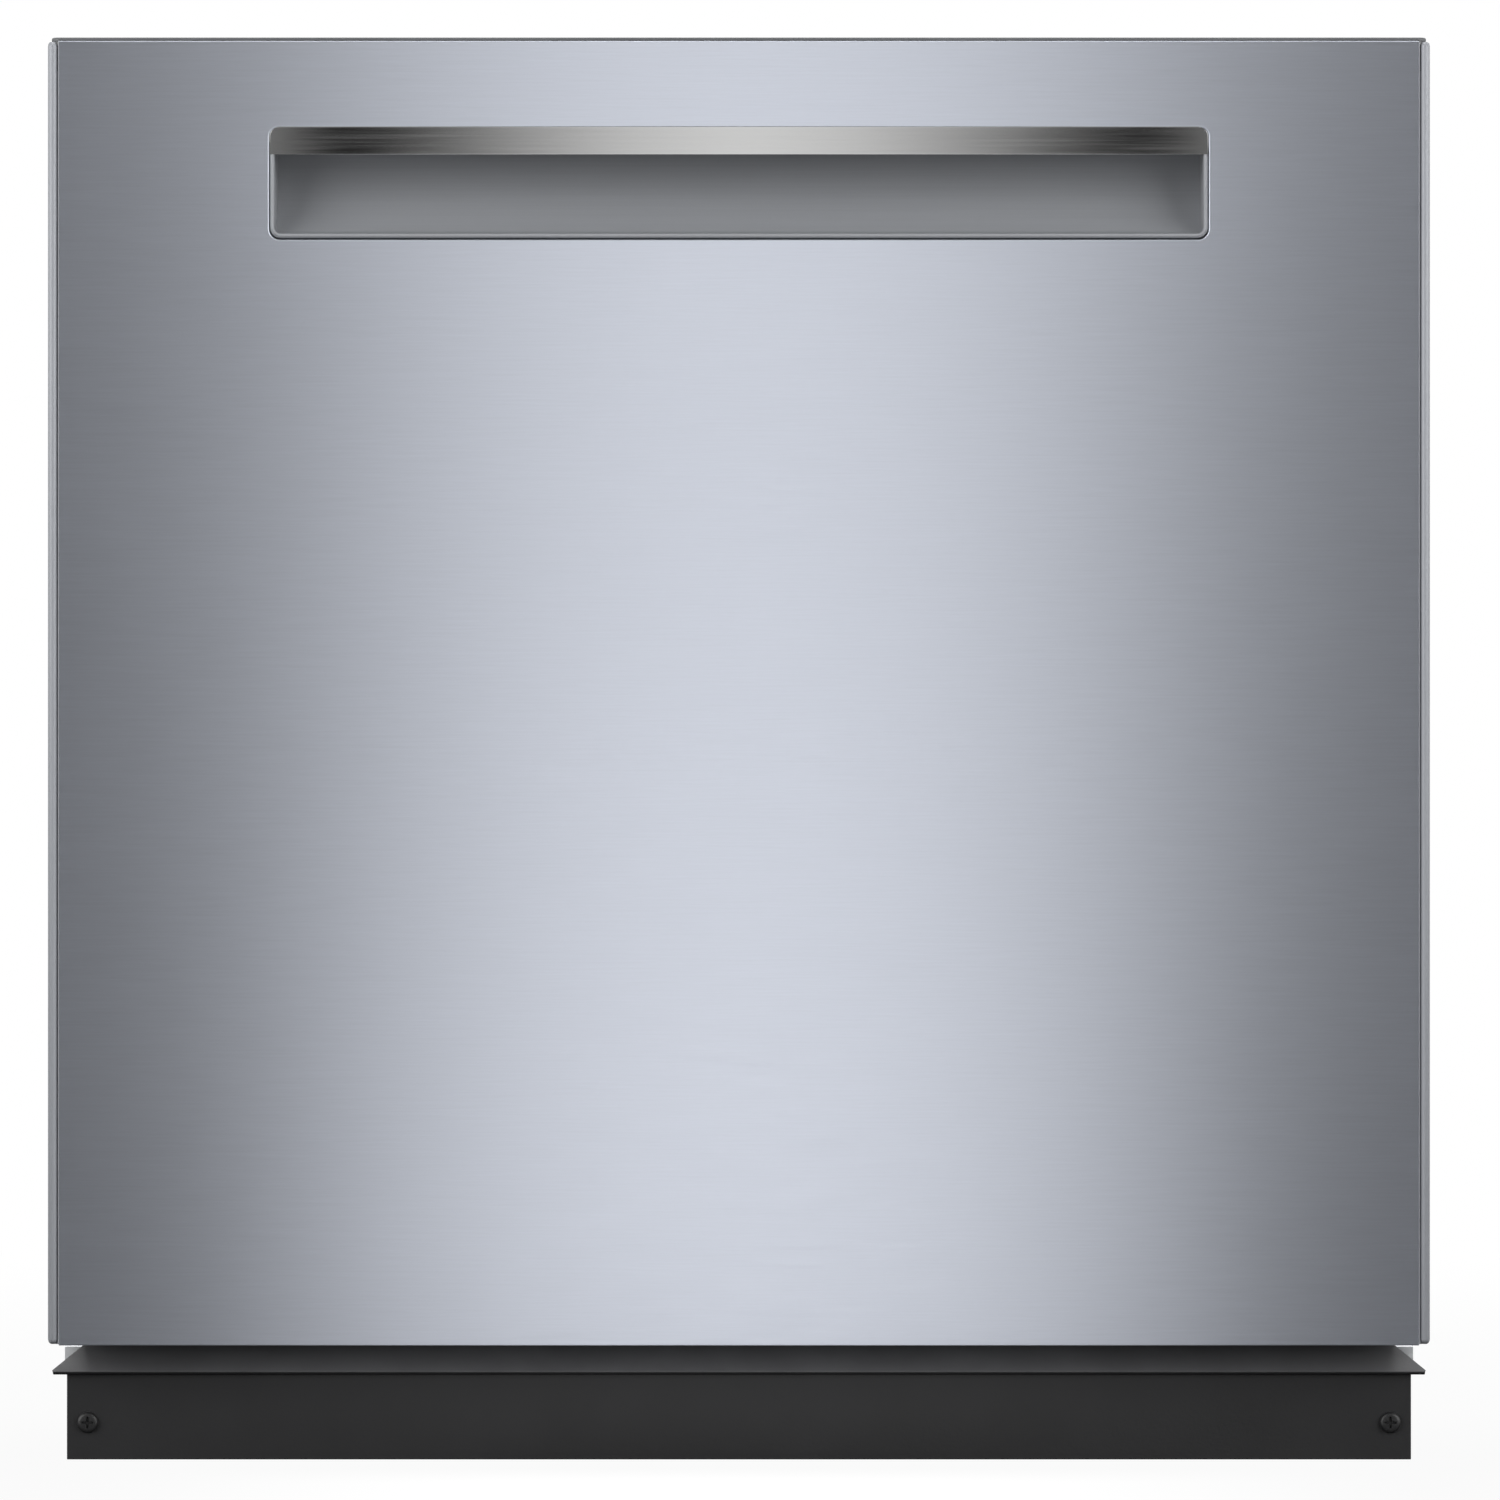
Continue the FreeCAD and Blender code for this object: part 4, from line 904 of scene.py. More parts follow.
def tub():
    """Deep-drawn tub: rounded corners, embossed back and the sump mouth."""
    shell = Shape()
    n = 9
    rows = [lay(grown(TUB, 0, n - 1), front, y)
            for y in (TUB_MOUTH, -150, -60, 40, 140, TUB_STRAIGHT)]
    count = len(rows[0])
    bottom = 3 * n - 1      # the bottom is left out here, and laid as a plate below
    for a, b in zip(rows, rows[1:]):
        shell.add(a + b, [(j, (j + 1) % count, count + (j + 1) % count, count + j)
                          for j in range(count) if j != bottom])
    shell.steps(TUB, [(0, TUB_STRAIGHT), (-0.6, 243), (-2.6, 249), (-6.4, 254.6), (-12, 259),
                      (-18, 261.3), (-25, TUB_BACK)], front, corner_steps=n - 1)
    emboss = [(-150, -58, 200, 540, 14), (58, 150, 200, 540, 14)]
    shell.plate(grown(TUB, -25, n - 1), [grown(e, 2) for e in emboss], front, TUB_BACK)
    for e in emboss:
        shell.steps(e, [(2, 262), (0.5, 261.6), (-2, 259.6), (-3.5, 259.2)], front, cap=True)
    shell.plate(corners(-244, 244, TUB_MOUTH, TUB_STRAIGHT),
                [circle(0, HUB_Y, SUMP_R + 3, 64)], plan, TUB_FLOOR)
    shell.lathe([(SUMP_R + 3, 0), (SUMP_R + 1.2, -0.3), (SUMP_R + 0.2, -1.2), (SUMP_R, -3),
                 (SUMP_R, -9)], (0, HUB_Y, TUB_FLOOR), UP, 64, caps=OPEN)
    shell.build("wash_tub", "cabinet", [TUB_STEEL], "stainless_tub", ["tub_shell"],
                sharp=45, thickness=0.8)


def tub_ribs():
    """Pressed ribs on the side walls and the ledges that the rack wheels run on."""
    ribs = Shape()
    y0, y1, foot = -206, 226, 0.45
    section = ((-9, foot), (-6.5, 1.0), (-3, 2.0), (3, 2.0), (6.5, 1.0), (9, foot))
    for z in (230.0, 330.0):
        for x, out in ((-268.0, 1), (268.0, -1)):
            ribs.skin([[(x + out * h, y, z + dz) for y in (y0, y1)] for dz, h in section],
                      closed=False)
            for y, step in ((y0, -1), (y1, 1)):
                ribs.skin([[(x + out * h, y, z + dz),
                            (x + out * foot, y + step * 7, z + dz * 0.4)]
                           for dz, h in section], closed=False)
    for x in (-250.0, 228.0):
        ribs.steps((x, x + 22, -228, 256, 4), [(0, 104.2), (-0.5, 105.1), (-1.3, 105.4)], plan,
                   cap=True)
    ribs.build("tub_ribs", "cabinet", [TUB_STEEL], "stainless_tub", sharp=50)


def front_frame():
    """Frame round the tub mouth with a rolled inner lip and a folded outer edge."""
    (x0, face, z0), (x1, back, z1) = extent("tub_front_frame")
    rim = (x0, x1, z0, z1, 2.5)
    sheet = Shape()
    sheet.plate(grown(rim, -1.0), [grown(TUB, 4.5, 10)], front, face)
    sheet.steps(rim, [(-1.0, face), (-0.3, face + 0.2), (0, face + 0.9), (0, back)], front)
    sheet.steps(TUB, [(4.5, 0), (2.6, 0.35), (1.1, 1.3), (0.3, 2.7), (0.1, 4.5)], front, face,
                corner_steps=10)
    sheet.build("front_frame", "cabinet", [TUB_STEEL], "stainless_tub", ["tub_front_frame"],
                sharp=40)


def door_seal():
    """Extruded rubber seal: a bulb with a folded lip, round the mouth."""
    (x0, _, z0), (x1, face, z1) = extent("tub_gasket")
    half = 3.5
    section = [(-3.4, 0), (-3.45, -1.0), (-3.0, -2.2), (-1.9, -3.05), (-0.6, -3.35),
               (0.5, -3.0), (1.2, -2.3), (1.5, -1.6), (2.0, -1.7), (2.8, -2.4), (3.3, -2.5),
               (3.45, -2.0), (3.0, -1.0), (2.9, 0)]
    seal = Shape()
    seal.steps((x0 + half, x1 - half, z0 + half, z1 - half, 20), section, front, face,
               corner_steps=12)
    seal.build("door_seal", "cabinet", [SEAL_RUBBER], "rubber_seal", ["tub_gasket"], sharp=70)


def pressed(shape, outline, pads, place, base, rise, ramp):
    """Sheet with smooth raised pads; rise is signed along the place's depth."""
    flat = 3.0      # level margins keep the shading of the wide faces true
    inset = [(u + flat * (1 if u < 0 else -1), v + flat * (1 if v < 300 else -1))
             for u, v in outline]
    shape.skin([lay(loop, place, base) for loop in (outline, inset)])
    shape.plate(inset, [grown(pad, ramp + flat) for pad in pads], place, base)
    for pad in pads:
        shape.steps(pad, [(ramp + flat, 0), (ramp, 0), (ramp * 0.7, rise * 0.1),
                          (ramp * 0.35, rise * 0.5), (0, rise * 0.9), (-ramp * 0.4, rise),
                          (-ramp * 0.4 - flat, rise)], place, base)
        shape.plate(grown(pad, -ramp * 0.4 - flat), [], place, base + rise)


def outside_sheets():
    """Galvanised side and back sheets with swages, folds and rivets."""
    y0, y1, z1 = -231, 283, 598
    skin_x, rivet_x = 288.5, 288.3
    hem = [(skin_x, z1), (rivet_x, 599.1), (287.4, 599.6), (276.2, 599.6), (275.8, 599.2),
           (275.8, 596.5)]
    swages = [(-180, 240, z, z + 26, 10) for z in (170.0, 430.0)] + [(-120, 180, 250, 376, 14)]
    for name in ("side_panel_left", "side_panel_right"):
        sheet = Shape()
        pressed(sheet, corners(y0, y1, 19, z1), swages, side, skin_x, 1.4, 5.0)
        sheet.strip(hem, front, (y0, y1))
        for y in (-222.0, 274.0):
            for z in (60.0, 150.0, 300.0, 420.0, 560.0):
                sheet.lathe([(3.4, 0.1), (3.3, 0.5), (2.5, 1.0), (1.2, 1.25)],
                            (rivet_x, y, z), (1, 0, 0), 16, caps=(False, True))
        if "left" in name:
            sheet.verts, sheet.faces = sheet.flipped()
        sheet.build("sheet_" + name, "cabinet", [GALVANISED], "galvanised", [name],
                    thickness=0.5)
    low, high = extent("back_panel")
    back = Shape()
    pads = [(-230, 230, 150, 330, 12), (-230, 230, 360, 540, 12)]
    pressed(back, corners(low[0], high[0], low[2], high[2]), pads, front, low[1] + 0.5, 2.0,
            6.0)
    for x in (-279.0, 0.0, 279.0):
        for z in (110.0, 345.0, 590.0):
            back.lathe([(3.6, 0.1), (3.5, 0.8), (2.6, 1.3), (1.3, 1.5)],
                       (x, low[1] + 0.6, z), INWARDS, 16, caps=(False, True))
    back.build("sheet_back", "cabinet", [GALVANISED], "galvanised", ["back_panel"],
               thickness=0.5)


# ---- feet and springs ----

QUARTERS = ("front_left", "front_right", "rear_left", "rear_right")
THREAD_ROOT, THREAD_CREST, THREAD_PITCH = 4.2, 4.85, 1.6
THREAD_TURNS, THREAD_SIDES = 24, 20
NUT_TOP = 11.0
SPRING_X = 276.4
SPRING_COILS, SPRING_R, SPRING_WIRE = 40, 4.35, 0.85


def feet():
    """Levelling feet: ribbed pad, hexagon and a threaded stud."""
    for name in ("foot_" + quarter for quarter in QUARTERS):
        (x, y, _), top = middle(name), extent(name)[1][2]
        foot = Shape()
        foot.lathe([(15.5, 0), (16.7, 0.5), (17, 1.4), (17, 3.4), (16.4, 4.5), (14.8, 5.0),
                    (7, 5.4)], (x, y, 0), UP, 36, 1)
        hexagon = circle(x, y, 9, 6)
        foot.solid([[(x + (u - x) * s, y + (v - y) * s, z) for u, v in hexagon]
                    for s, z in ((0.93, 5.0), (1, 5.6), (1, 10.4), (0.93, NUT_TOP))])
        rings = []
        for i in range(THREAD_TURNS * 4):       # four rings to a turn
            ring = []
            for k, angle in enumerate(turns(THREAD_SIDES)):
                crest = (i + k * 4 / THREAD_SIDES) % 4 < 2
                ring.append(polar(THREAD_CREST if crest else THREAD_ROOT, angle, x, y))
            rings.append(lay(ring, plan, NUT_TOP + i * THREAD_PITCH / 4))
        rings.append(lay(circle(x, y, 3.6, THREAD_SIDES), plan, top - 0.2))
        foot.solid(rings)
        foot.build("levelling_" + name, name, [ZINC, BASE_BLACK], "steel_zinc", [name],
                   sharp=30)


def counterbalance_springs():
    """Close-wound springs from the base to the hinge arms, with end hooks."""
    for sign, name in ((-1, "left"), (1, "right")):
        x = sign * SPRING_X
        start, end = Vector((x, -221, 58)), Vector((x, -96, 48))
        axis = (end - start).normalized()
        up = axis.cross(Vector((1, 0, 0))).normalized()
        across = axis.cross(up)
        per_turn = 12
        count = SPRING_COILS * per_turn
        route = [Vector((x, -237.0, 59.4)), Vector((x, -228, 58.6))]
        for i in range(count + 1):
            u, v = polar(1, math.tau * i / per_turn)
            route.append(start.lerp(end, i / count) + SPRING_R * (u * up + v * across))
        route += [Vector((x, -91, 47.6)), Vector((x, -84.2, 47.0))]
        spring = Shape()
        spring.tube(route, SPRING_WIRE, 6)
        piece = spring.build("spring_" + name, "cabinet", [ZINC], "spring_steel",
                             ["door_springs"] if sign < 0 else [], sharp=60, ride=False)
        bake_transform(piece)


# ---- racks ----

WIRE, RIM = 1.9, 2.6
SHELF_Z = 500
PLATE_ROW = (-205, 139, 12)         # first and last prong of a plate row, and their number
FORK_X, AXLE_X, AXLE_Z = 226.5, 229.0, 128
BASKET_X, BASKET_Y, BASKET_Z = (158.0, 218.0), (-180.0, 170.0), (168.5, 272.0)


def loop_wire(shape, half, y0, y1, z, radius):
    route = lay(corners(-half, half, y0, y1), plan, z)
    shape.tube(bend(route, 22, 5, closed=True), radius, 10, closed=True)


def wire_basket(shape, node, half, floor, rim):
    """Welded basket: rims, floor frame and U-shaped cross wires with round bends."""
    low, high = extent(node)
    y0, y1 = low[1] + RIM, high[1] - RIM
    for z, radius in ((rim, RIM), ((floor + rim) / 2, WIRE), (floor, RIM)):
        loop_wire(shape, half, y0, y1, z, radius)
    inset = WIRE + 0.6
    for x in levels(-half + 18, half - 18, 11):
        route = [(y0 + inset, rim), (y0 + inset, floor), (y1 - inset, floor),
                 (y1 - inset, rim)]
        shape.tube(bend(lay(route, side, x), 9), WIRE)
    for y in levels(y0 + 22, y1 - 22, 10):
        z = floor - 0.4
        route = [(-half + inset, rim), (-half + inset, z), (half - inset, z),
                 (half - inset, rim)]
        shape.tube(bend(lay(route, front, y), 9), WIRE)


def tines(shape, y, z, x0, x1, count, height, lean):
    """Plate prongs welded in pairs onto a carrier wire, gently raked."""
    shape.tube([(x0 - 6, y, z), (x1 + 6, y, z)], WIRE)
    for x in levels(x0, x1, count):
        shape.tube([(x, y, z), (x, y + lean * 0.12, z + height * 0.3),
                    (x, y + lean * 0.5, z + height * 0.7), (x, y + lean, z + height - 1)],
                   WIRE)


def racks():
    """Plate rack with wheel forks, folding prongs, cup rack and its folding shelf."""
    lower = Shape()
    wire_basket(lower, "lower_rack", 232.0 - RIM, 164.0, 288.0)
    for y in (-160.0, -80.0):
        tines(lower, y, 167.8, *PLATE_ROW, 72, 10)
    for y in (-95.0, 165.0):
        for sign in (-1, 1):
            fork = [(-9, 176), (-9, AXLE_Z), (-6, 121.5), (0, 119.6), (6, 121.5), (9, AXLE_Z),
                    (9, 176)]
            lower.prism(moved(fork, y, 0), side, sign * FORK_X, sign * AXLE_X)
            lower.lathe([(3.0, 0), (3.6, 0.8), (3.6, 20.6), (3.2, 21.4)],
                        (sign * AXLE_X, y, AXLE_Z), (sign, 0, 0), 20)
    fold = Shape()
    tines(fold, 20.0, 174.0, *PLATE_ROW, 70, 6)
    for x in (-214.0, 145.0):
        fold.prism([(15, 171), (25, 171), (25, 174), (22, 177), (18, 177), (15, 174)], side,
                   x, x + 3)
    upper = Shape()
    wire_basket(upper, "upper_rack", 246.0 - RIM, 456.0, 538.0)
    for y in (-90.0, 70.0):
        tines(upper, y, 459.8, -120, 200, 11, 44, 8)
    shelf = Shape()
    low, high = extent("cup_shelf")
    x0, x1, y0, y1 = low[0] + WIRE, high[0] - WIRE, -150.0, 150.0
    frame_route = lay(corners(x0, x1, y0, y1), plan, SHELF_Z)
    shelf.tube(bend(frame_route, 12, 5, closed=True), WIRE, closed=True)
    for y in levels(y0, y1, 9)[1:-1]:
        shelf.tube([(x0, y, SHELF_Z), (x1, y, SHELF_Z)], WIRE)
    for shape, name, body, node in ((lower, "plate_rack", "lower_basket", "lower_rack"),
                                    (fold, "folding_prongs", "folding_tines", "fold_tines"),
                                    (upper, "cup_rack", "upper_basket", "upper_rack"),
                                    (shelf, "cup_shelf_wires", "folding_shelf", "cup_shelf")):
        shape.build(name, body, [WIRE_COAT], "coated_wire", [node], sharp=50)


def lattice(shape, place, depth, u_span, v_span, nu, nv, bar):
    """Grille of nu by nv rounded windows between bars."""
    (u0, u1), (v0, v1) = u_span, v_span
    width, tall = (u1 - u0 - bar) / nu, (v1 - v0 - bar) / nv
    holes = [grown((u0 + bar + i * width, u0 + (i + 1) * width, v0 + bar + j * tall,
                    v0 + (j + 1) * tall, 1.6), 0, 2) for i in range(nu) for j in range(nv)]
    shape.plate(corners(u0, u1, v0, v1), holes, place, depth)


def cutlery_basket():
    """Lattice cutlery basket with dividers and a carrying handle."""
    (x0, x1), (y0, y1), (z0, z1) = BASKET_X, BASKET_Y, BASKET_Z
    rim_z = z1 - 9
    basket = Shape()
    for x in (x0 + 1, x1 - 1):
        lattice(basket, side, x, BASKET_Y, (z0, rim_z), 24, 6, 2.6)
    for y in (y0 + 1, y1 - 1):
        lattice(basket, front, y, BASKET_X, (z0, rim_z), 4, 6, 2.6)
    for y in levels(y0, y1, 6)[1:-1]:
        lattice(basket, front, y, (x0 + 2, x1 - 2), (z0 + 2, z1 - 16), 4, 5, 3.0)
    lattice(basket, plan, z0 + 1, BASKET_X, BASKET_Y, 6, 36, 2.4)
    basket.build("cutlery_lattice", "lower_basket", [LIGHT_PLASTIC], "light_plastic",
                 ["silverware_basket"], sharp=40, thickness=1.8)
    top = Shape()
    top.steps((x0, x1, y0, y1, 3), [(0, rim_z), (0, z1 - 0.6), (-0.6, z1), (-1.8, z1),
                                    (-2.4, z1 - 0.6), (-2.4, rim_z), (0, rim_z)], plan)
    mid = (x0 + x1) / 2
    handle = lay([(-66, 247), (-66, 280.5), (56, 280.5), (56, 247)], side, mid)
    top.tube(bend(handle, 16, 6), 3.2, 12)
    for y in (-66.0, 56.0):
        top.steps((mid - 28, mid + 28, y - 1.4, y + 1.4, 1.2),
                  [(0, 244), (0, 252), (-0.6, 252.6)], plan, cap=True)
    top.build("cutlery_handle", "lower_basket", [LIGHT_PLASTIC], "light_plastic", sharp=50)


def rack_wheels():
    """Spoked wheels with a rounded tyre and a hub cap."""
    for name in ("wheel_" + quarter for quarter in QUARTERS):
        low, high = extent(name)
        sign = 1 if "right" in name else -1
        inner = low[0] if sign > 0 else high[0]
        centre = Vector((inner, *middle(name)[1:]))
        axis = (sign, 0, 0)
        wheel = Shape()
        wheel.hoop([(17.2, 0.5), (20.6, 0.3), (21.6, 1.2), (22, 2.8), (22, 6.2), (21.6, 7.8),
                    (20.6, 8.7), (17.2, 8.5)], centre, axis)
        wheel.hoop([(4.2, 0), (7.6, 0), (8, 0.5), (8, 8.4), (7.4, 9), (4.6, 9), (4.2, 8.6)],
                   centre, axis, 32)
        wheel.hoop([(17.4, 3.6), (17.4, 5.0), (7.9, 5.0), (7.9, 3.6)], centre, axis)
        for c, s in (polar(1, angle) for angle in turns(6)):
            out, across = Vector((0, c, s)), Vector((0, -s, c))
            wheel.solid([[centre + out * r + across * w + Vector((sign * d, 0, 0))
                          for w, d in ((-1.3, 1.6), (1.3, 1.6), (0.9, 7.2), (-0.9, 7.2))]
                         for r in (7.8, 17.3)])
        wheel.build("rack_" + name, name, [GREY_PLASTIC], "grey_plastic", [name])


# ---- spray arms and filter ----

ARM_ROOT, ARM_TIP = 23.5, 14.6      # half widths of a spray arm
HUB_REACH, TIP_REACH = 30, 15       # lengths of the parallel middle and the rounded tip
JET_FIRST, JET_PITCH = 58, 32
BAR_SPAN = (50, 190)
SIEVE_BARS = 24


def blade(shape, reach, z, thick):
    """Spray-arm blade: a flattened tube that tapers to a rounded tip."""
    rings = []
    stations = [-reach + 0.4, -reach + 2.5, -reach + 7, -reach + 14, -reach * 0.72,
                -reach * 0.45, -32, 0]
    stations += [-x for x in stations[-2::-1]]
    for x in stations:
        taper = max(0.0, (abs(x) - HUB_REACH) / (reach - HUB_REACH))
        half = ARM_ROOT + (ARM_TIP - ARM_ROOT) * taper
        near = reach - abs(x)
        if near < TIP_REACH:
            half *= math.sqrt(max(0.02, 1 - (1 - near / TIP_REACH) ** 2))
        tall = thick / 2 * (1.0 if near > 7 else 0.55 + 0.45 * near / 7)
        rings.append([(x, HUB_Y + half * math.copysign(abs(c) ** 0.7, c),
                       z + thick / 2 + tall * math.copysign(abs(s) ** 0.6, s))
                      for c, s in circle(0, 0, 1, 20)])
    shape.solid(rings)


def spray_arms():
    """Both arms: blade, hub, nozzles and a stiffening bar on each side."""
    for name, reach, z, thick, hub, jet_z in (
            ("lower", 214.6, 122.0, 11.0,
             [(24.6, 0), (25, 0.8), (25, 8), (25, 20), (23.5, 23), (19, 24), (6, 24)], 132.6),
            ("upper", 195.6, 424.0, 10.0,
             [(15, 0), (23, 0.4), (24.8, 2.5), (25, 6), (25, 13.6), (24, 14)], 433.6)):
        node = name + "_spray_arm"
        arm = Shape()
        blade(arm, reach, z, thick)
        arm.lathe(hub, (0, HUB_Y, extent(node)[0][2]), UP, 40)
        for sign in (-1, 1):
            for i in range(5):
                x = sign * (JET_FIRST + JET_PITCH * i)
                y = HUB_Y + sign * (7 if i % 2 else -6)
                arm.lathe([(5, -0.8), (4.6, 0.6), (3.2, 2.2), (2.4, 2.4), (1.6, 2.0),
                           (1.5, 0.4)], (x, y, jet_z), UP, 18)
            x0, x1 = sorted(sign * x for x in BAR_SPAN)
            arm.steps((x0, x1, HUB_Y - 1.2, HUB_Y + 1.2, 1.1), [(0, -0.6), (-0.3, 0.9)], plan,
                      jet_z, cap=True)
        arm.build("arm_" + name, name + "_arm", [GREY_PLASTIC], "grey_plastic", [node],
                  sharp=40)


def coarse_filter():
    """Twist filter: slotted basket, flanged rim with grip notches and a bow handle."""
    cx, cy, _ = middle("filter_cylinder")
    z0 = extent("filter_cylinder")[0][2]
    sieve = Shape()
    sieve.lathe([(29.4, 1), (30, 0), (30, 2), (28.8, 2)], (cx, cy, z0), UP, 48)
    for i in range(SIEVE_BARS):
        c, s = polar(1, math.tau * (i + 0.5) / SIEVE_BARS)
        bar = [(cx + c * r - s * w, cy + s * r + c * w)
               for r, w in ((28.8, -1.4), (30, -1.4), (30, 1.4), (28.8, 1.4))]
        sieve.prism(bar, plan, z0 + 1, z0 + 40)
    for z in (72, 84, 96):
        sieve.hoop([(28.9, 0), (30.0, 0), (30.0, 1.6), (28.9, 1.6)], (cx, cy, z), UP)
    sieve.hoop([(28.2, 0), (33.4, 0), (34, 0.7), (34, 4), (33.2, 5), (29, 5), (28.2, 4.4)],
               (cx, cy, 100), UP)
    sieve.steps((cx - 3, cx + 3, cy - 29, cy + 29, 2.4),
                [(0, 100.5), (0, 110.8), (-0.6, 111.7), (-1.4, 112)], plan, cap=True)
    sieve.build("coarse_filter", "filter", [GREY_PLASTIC], "grey_plastic",
                ["filter_cylinder"], sharp=40)


# ---- stage, lights and camera; every size is in metres ----

# brightness across the front softboxes: distance from the middle, strength
DOOR_BELL = ((0.0, 1.23), (0.1, 1.19), (0.2, 1.06), (0.3, 0.81), (0.4, 0.44), (0.48, 0.16),
             (0.57, 0.01), (1.6, 0.0))
LIP_BELL = ((0.0, 1.02), (0.1, 0.84), (0.19, 0.50), (0.28, 0.16), (0.325, 0.05), (0.36, 0.0),
            (0.40, 0.12), (0.43, 0.32), (0.6, 0.05), (1.6, 0.02))
PANEL_WIDTH = 3.2
PANEL_BEHIND = 0.3      # the front softboxes stand this far behind the camera
FLOOR_GLOW = 1.1
SIDE_FILL = 0.32
CAMERA_DISTANCE = 4.0
CAMERA_PLACE = (0.0048, DOOR_FRONT * MM - CAMERA_DISTANCE, 0.3096)
FRAME_WIDTH = 0.6488
WHITE = (1, 1, 1, 1)


def plane(name, size, place, surface, turn=0):
    """Flat stage piece, turned about x, whose material's surface is a Graph function."""
    mesh = bpy.data.meshes.new(name)
    w, h = size[0] / 2, size[1] / 2
    mesh.from_pydata(lay(corners(-w, w, -h, h), plan, 0), [], [(0, 1, 2, 3)])
    piece = link(name, mesh)
    piece.location = place
    piece.rotation_euler = (math.radians(turn), 0, 0)
    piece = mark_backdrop(piece) or piece
    material = bpy.data.materials.new(name + "_surface")
    material.use_nodes = True
    graph = Graph(material.node_tree)
    graph.tree.nodes.clear()
    graph.node("OutputMaterial", {"Surface": surface(graph)})
    mesh.materials.append(material)
    return piece


def bell_ramp(graph, away, bell):
    """Brightness of a bell at a distance from the middle, as a share of its top."""
    top = max(value for _, value in bell)
    share = graph.calc(away, ("ABSOLUTE", None), ("DIVIDE", PANEL_WIDTH / 2))
    return graph.ramp(share, [(place / (PANEL_WIDTH / 2), (value / top,) * 3)
                              for place, value in bell]), top


def floor_surface(graph):
    """Pale floor that stays close to the white backdrop and carries the softbox's glow."""
    place = graph.node("TexCoord").outputs["Object"]
    split = graph.node("SeparateXYZ", {0: place}).outputs
    ahead = graph.calc(split["Y"], ("MULTIPLY", -1.0), ("SUBTRACT", -DOOR_FRONT * MM))
    widening = graph.calc(ahead, ("MAXIMUM", 0.0), ("DIVIDE", CAMERA_DISTANCE), ("ADD", 1.0),
                          ("DIVIDE", 2.0 + PANEL_BEHIND / CAMERA_DISTANCE))
    color, top = bell_ramp(graph, graph.calc(split["X"], ("DIVIDE", widening)), DOOR_BELL)
    glow = graph.span(ahead, 0.0, top * FLOOR_GLOW, (0.0, 0.1), "SMOOTHSTEP")
    fill = graph.span(ahead, SIDE_FILL, 0.0, (-0.4, -0.05), "SMOOTHSTEP")
    lit = graph.node("BsdfDiffuse", {"Color": (0.08, 0.08, 0.08, 1)}).outputs[0]
    for part in (graph.node("Emission", {"Color": color, "Strength": glow}),
                 graph.node("Emission", {"Strength": fill})):
        lit = graph.node("AddShader", {0: lit, 1: part.outputs[0]}).outputs[0]
    length = graph.node("VectorMath", {0: place}, operation="LENGTH").outputs["Value"]
    fade = graph.span(length, 0.95, 1.0, (0.3, 1.5), "SMOOTHSTEP")
    seen = graph.node("LightPath").outputs["Is Camera Ray"]
    white = graph.node("Emission").outputs[0]
    return graph.node("MixShader", {"Fac": graph.calc(seen, ("MULTIPLY", fade)), 1: lit,
                                    2: white}).outputs[0]


def bell_surface(bell):
    """Softbox surface whose brightness falls away to both sides."""
    def surface(graph):
        place = graph.node("TexCoord").outputs["Object"]
        across = graph.node("SeparateXYZ", {0: place}).outputs["X"]
        color, top = bell_ramp(graph, across, bell)
        return graph.node("Emission", {"Color": color, "Strength": top}).outputs[0]
    return surface


def softbox(name, place, target, size, power):
    data = bpy.data.lights.new(name, "AREA")
    data.shape = "RECTANGLE"
    data.size, data.size_y = size
    data.energy = power
    lamp = link(name, data)
    lamp.location = place
    lamp.rotation_euler = (Vector(target) - Vector(place)).to_track_quat("-Z", "Y").to_euler()
    lamp.visible_camera = False


def backdrop():
    """White to the camera, and a dim cool light to everything else."""
    world = bpy.data.worlds.new("studio")
    bpy.context.scene.world = world
    world.use_nodes = True
    graph = Graph(world.node_tree)
    back = graph.tree.nodes["Background"]
    back.inputs["Color"].default_value = (0.96, 0.98, 1.0, 1)
    back.inputs["Strength"].default_value = 0.045
    white = graph.node("Background", {"Color": WHITE, "Strength": 1.0})
    seen = graph.node("LightPath").outputs["Is Camera Ray"]
    mix = graph.node("MixShader", {"Fac": seen, 1: back.outputs[0], 2: white.outputs[0]})
    graph.tree.links.new(mix.outputs[0], graph.tree.nodes["World Output"].inputs["Surface"])


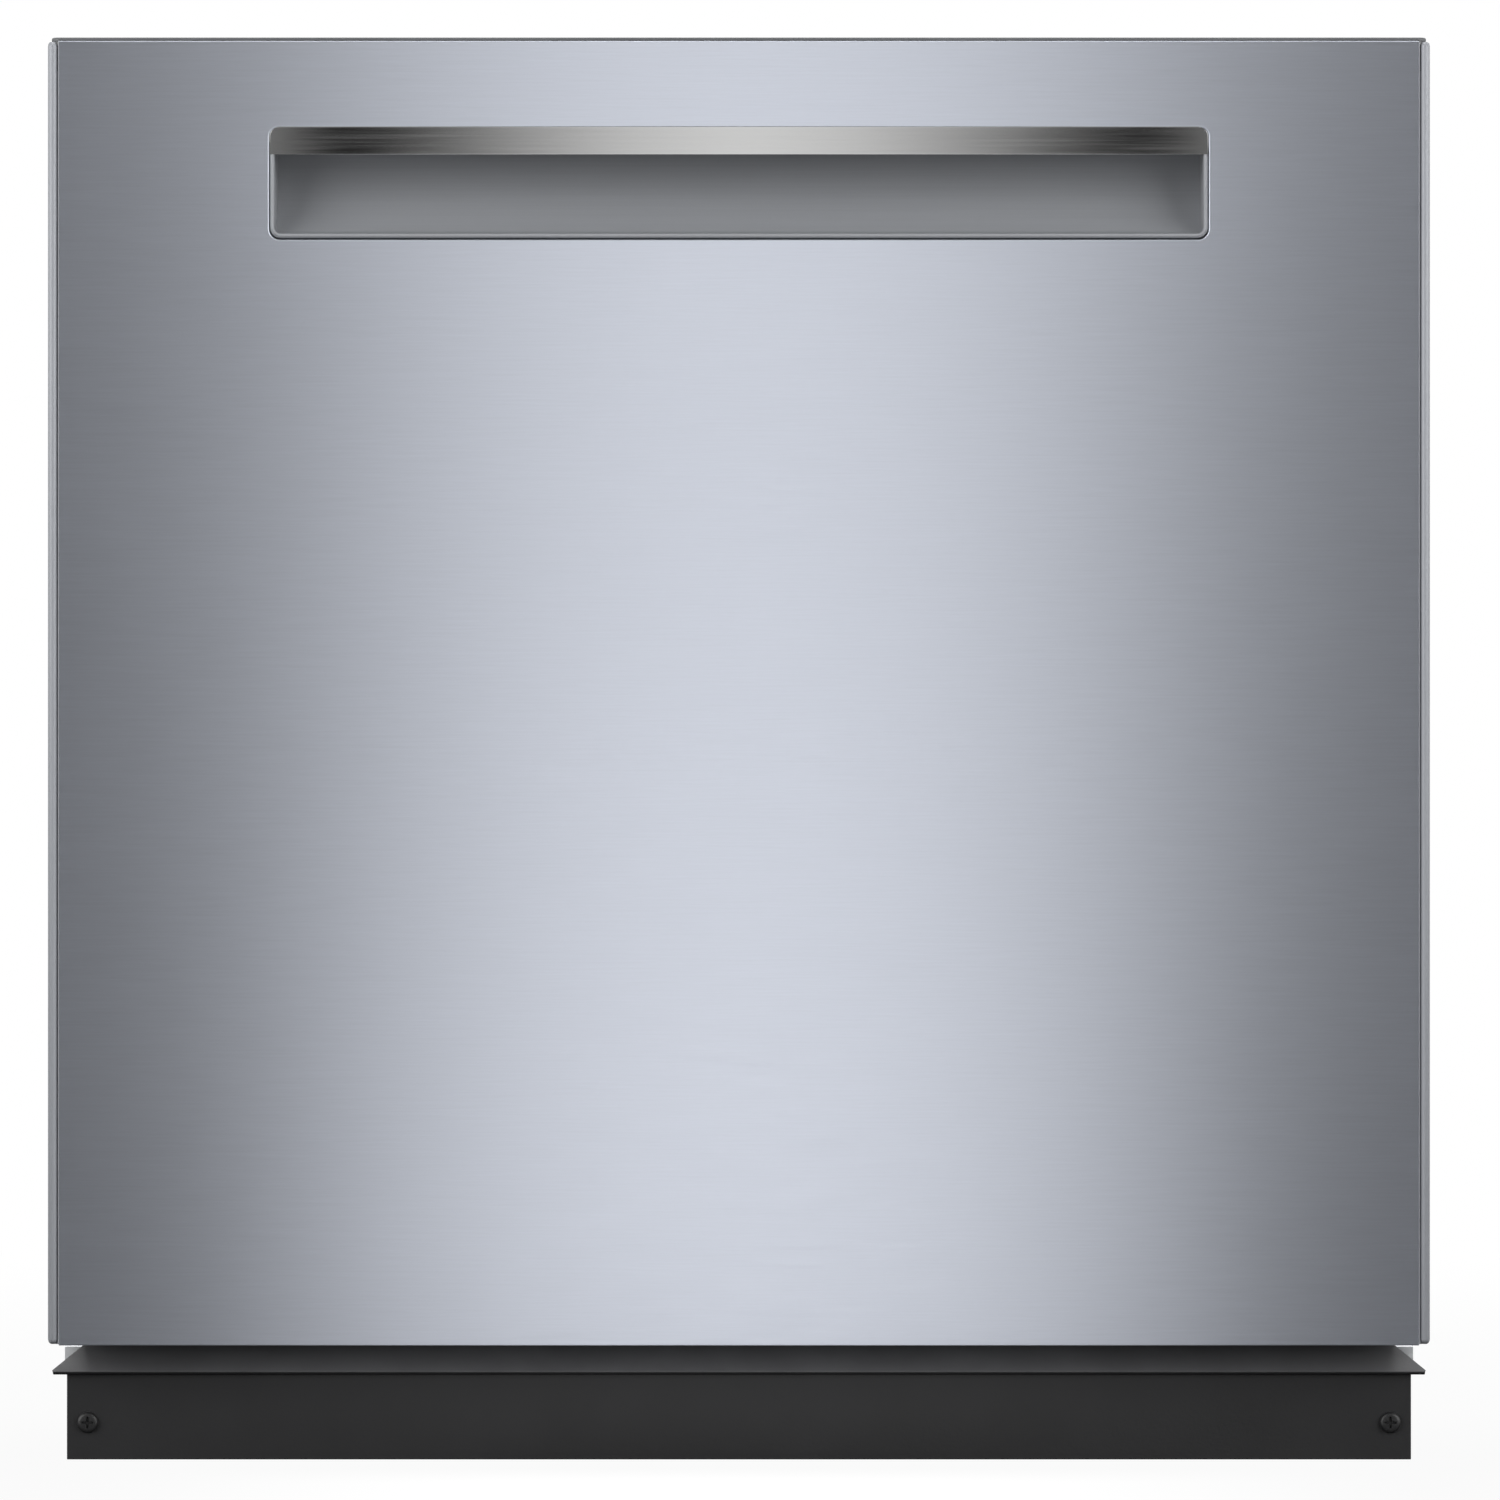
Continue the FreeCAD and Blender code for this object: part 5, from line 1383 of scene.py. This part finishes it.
def studio():
    """Pale floor, white backdrop, soft lights and the camera."""
    plane("floor", (40, 40), (0, 0, -0.0005), floor_surface)
    y = CAMERA_PLACE[1] - PANEL_BEHIND
    for name, tall, z, nearer, bell in (("front_panel", 6.0, 1.2, 0.0, DOOR_BELL),
                                        ("lip_card", 0.5, 0.85, 0.02, LIP_BELL)):
        panel = plane(name, (PANEL_WIDTH, tall), (0, y + nearer, z), bell_surface(bell), 90)
        panel.visible_camera = False
        panel.visible_shadow = False
    softbox("key", (0.0, -1.7, 3.1), (0, -0.2, 0.4), (2.6, 1.4), 20)
    softbox("top", (0.0, 0.5, 3.2), (0, 0.1, 0.3), (2.4, 1.6), 50)
    for sign, name in ((-1, "left"), (1, "right")):
        softbox(name, (sign * 3.0, 0.2, 1.4), (0, 0, 0.3), (3.0, 2.8), 42)
        softbox("front_" + name, (sign * 2.7, -2.6, 1.5), (0, 0, 0.3), (2.8, 2.8), 110)
    softbox("rear", (0.0, 3.2, 1.8), (0, 0, 0.3), (3.6, 2.6), 50)
    backdrop()
    data = bpy.data.cameras.new("camera")
    data.lens = data.sensor_width * CAMERA_DISTANCE / FRAME_WIDTH
    data.clip_end = 60
    camera = link("camera", data)
    camera.location = CAMERA_PLACE
    camera.rotation_euler = (math.radians(90), 0, 0)
    bpy.context.scene.camera = camera
    bpy.context.scene.view_settings.view_transform = "Standard"


# the CAD nodes that are shown as they are
CAD_FINISH = {
    TUB_STEEL: ["fine_filter_plate"],
    GALVANISED: ["junction_box"],
    BRACKET_STEEL: ["hinge_brackets"],
    ZINC: ["countertop_brackets", "latch_strike", "fixed_rails", "latch_pawl", "hinge_arms",
           "upper_rack_runners", "middle_rails"],
    BASE_BLACK: ["base_tray", "circulation_pump"],
    GREY_PLASTIC: ["sump_bowl", "water_conduit", "ceiling_sprinkler", "upper_arm_feed"],
    LIGHT_PLASTIC: ["drain_pump", "inlet_valve", "control_module"],
    MAT_BITUMEN: ["top_sound_mat"],
}


def finish_cad_nodes():
    for material, names in CAD_FINISH.items():
        for name in names:
            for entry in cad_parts[name].material_slots:
                entry.material = material


for make in (finish_cad_nodes, door_skin, handle_parts, kick_plate, control_fascia, inner_door,
             dispenser_housing, dispenser_flap, rinse_knob, tub, tub_ribs, front_frame,
             door_seal, outside_sheets, feet, counterbalance_springs, racks, cutlery_basket,
             rack_wheels, spray_arms, coarse_filter, studio):
    make()
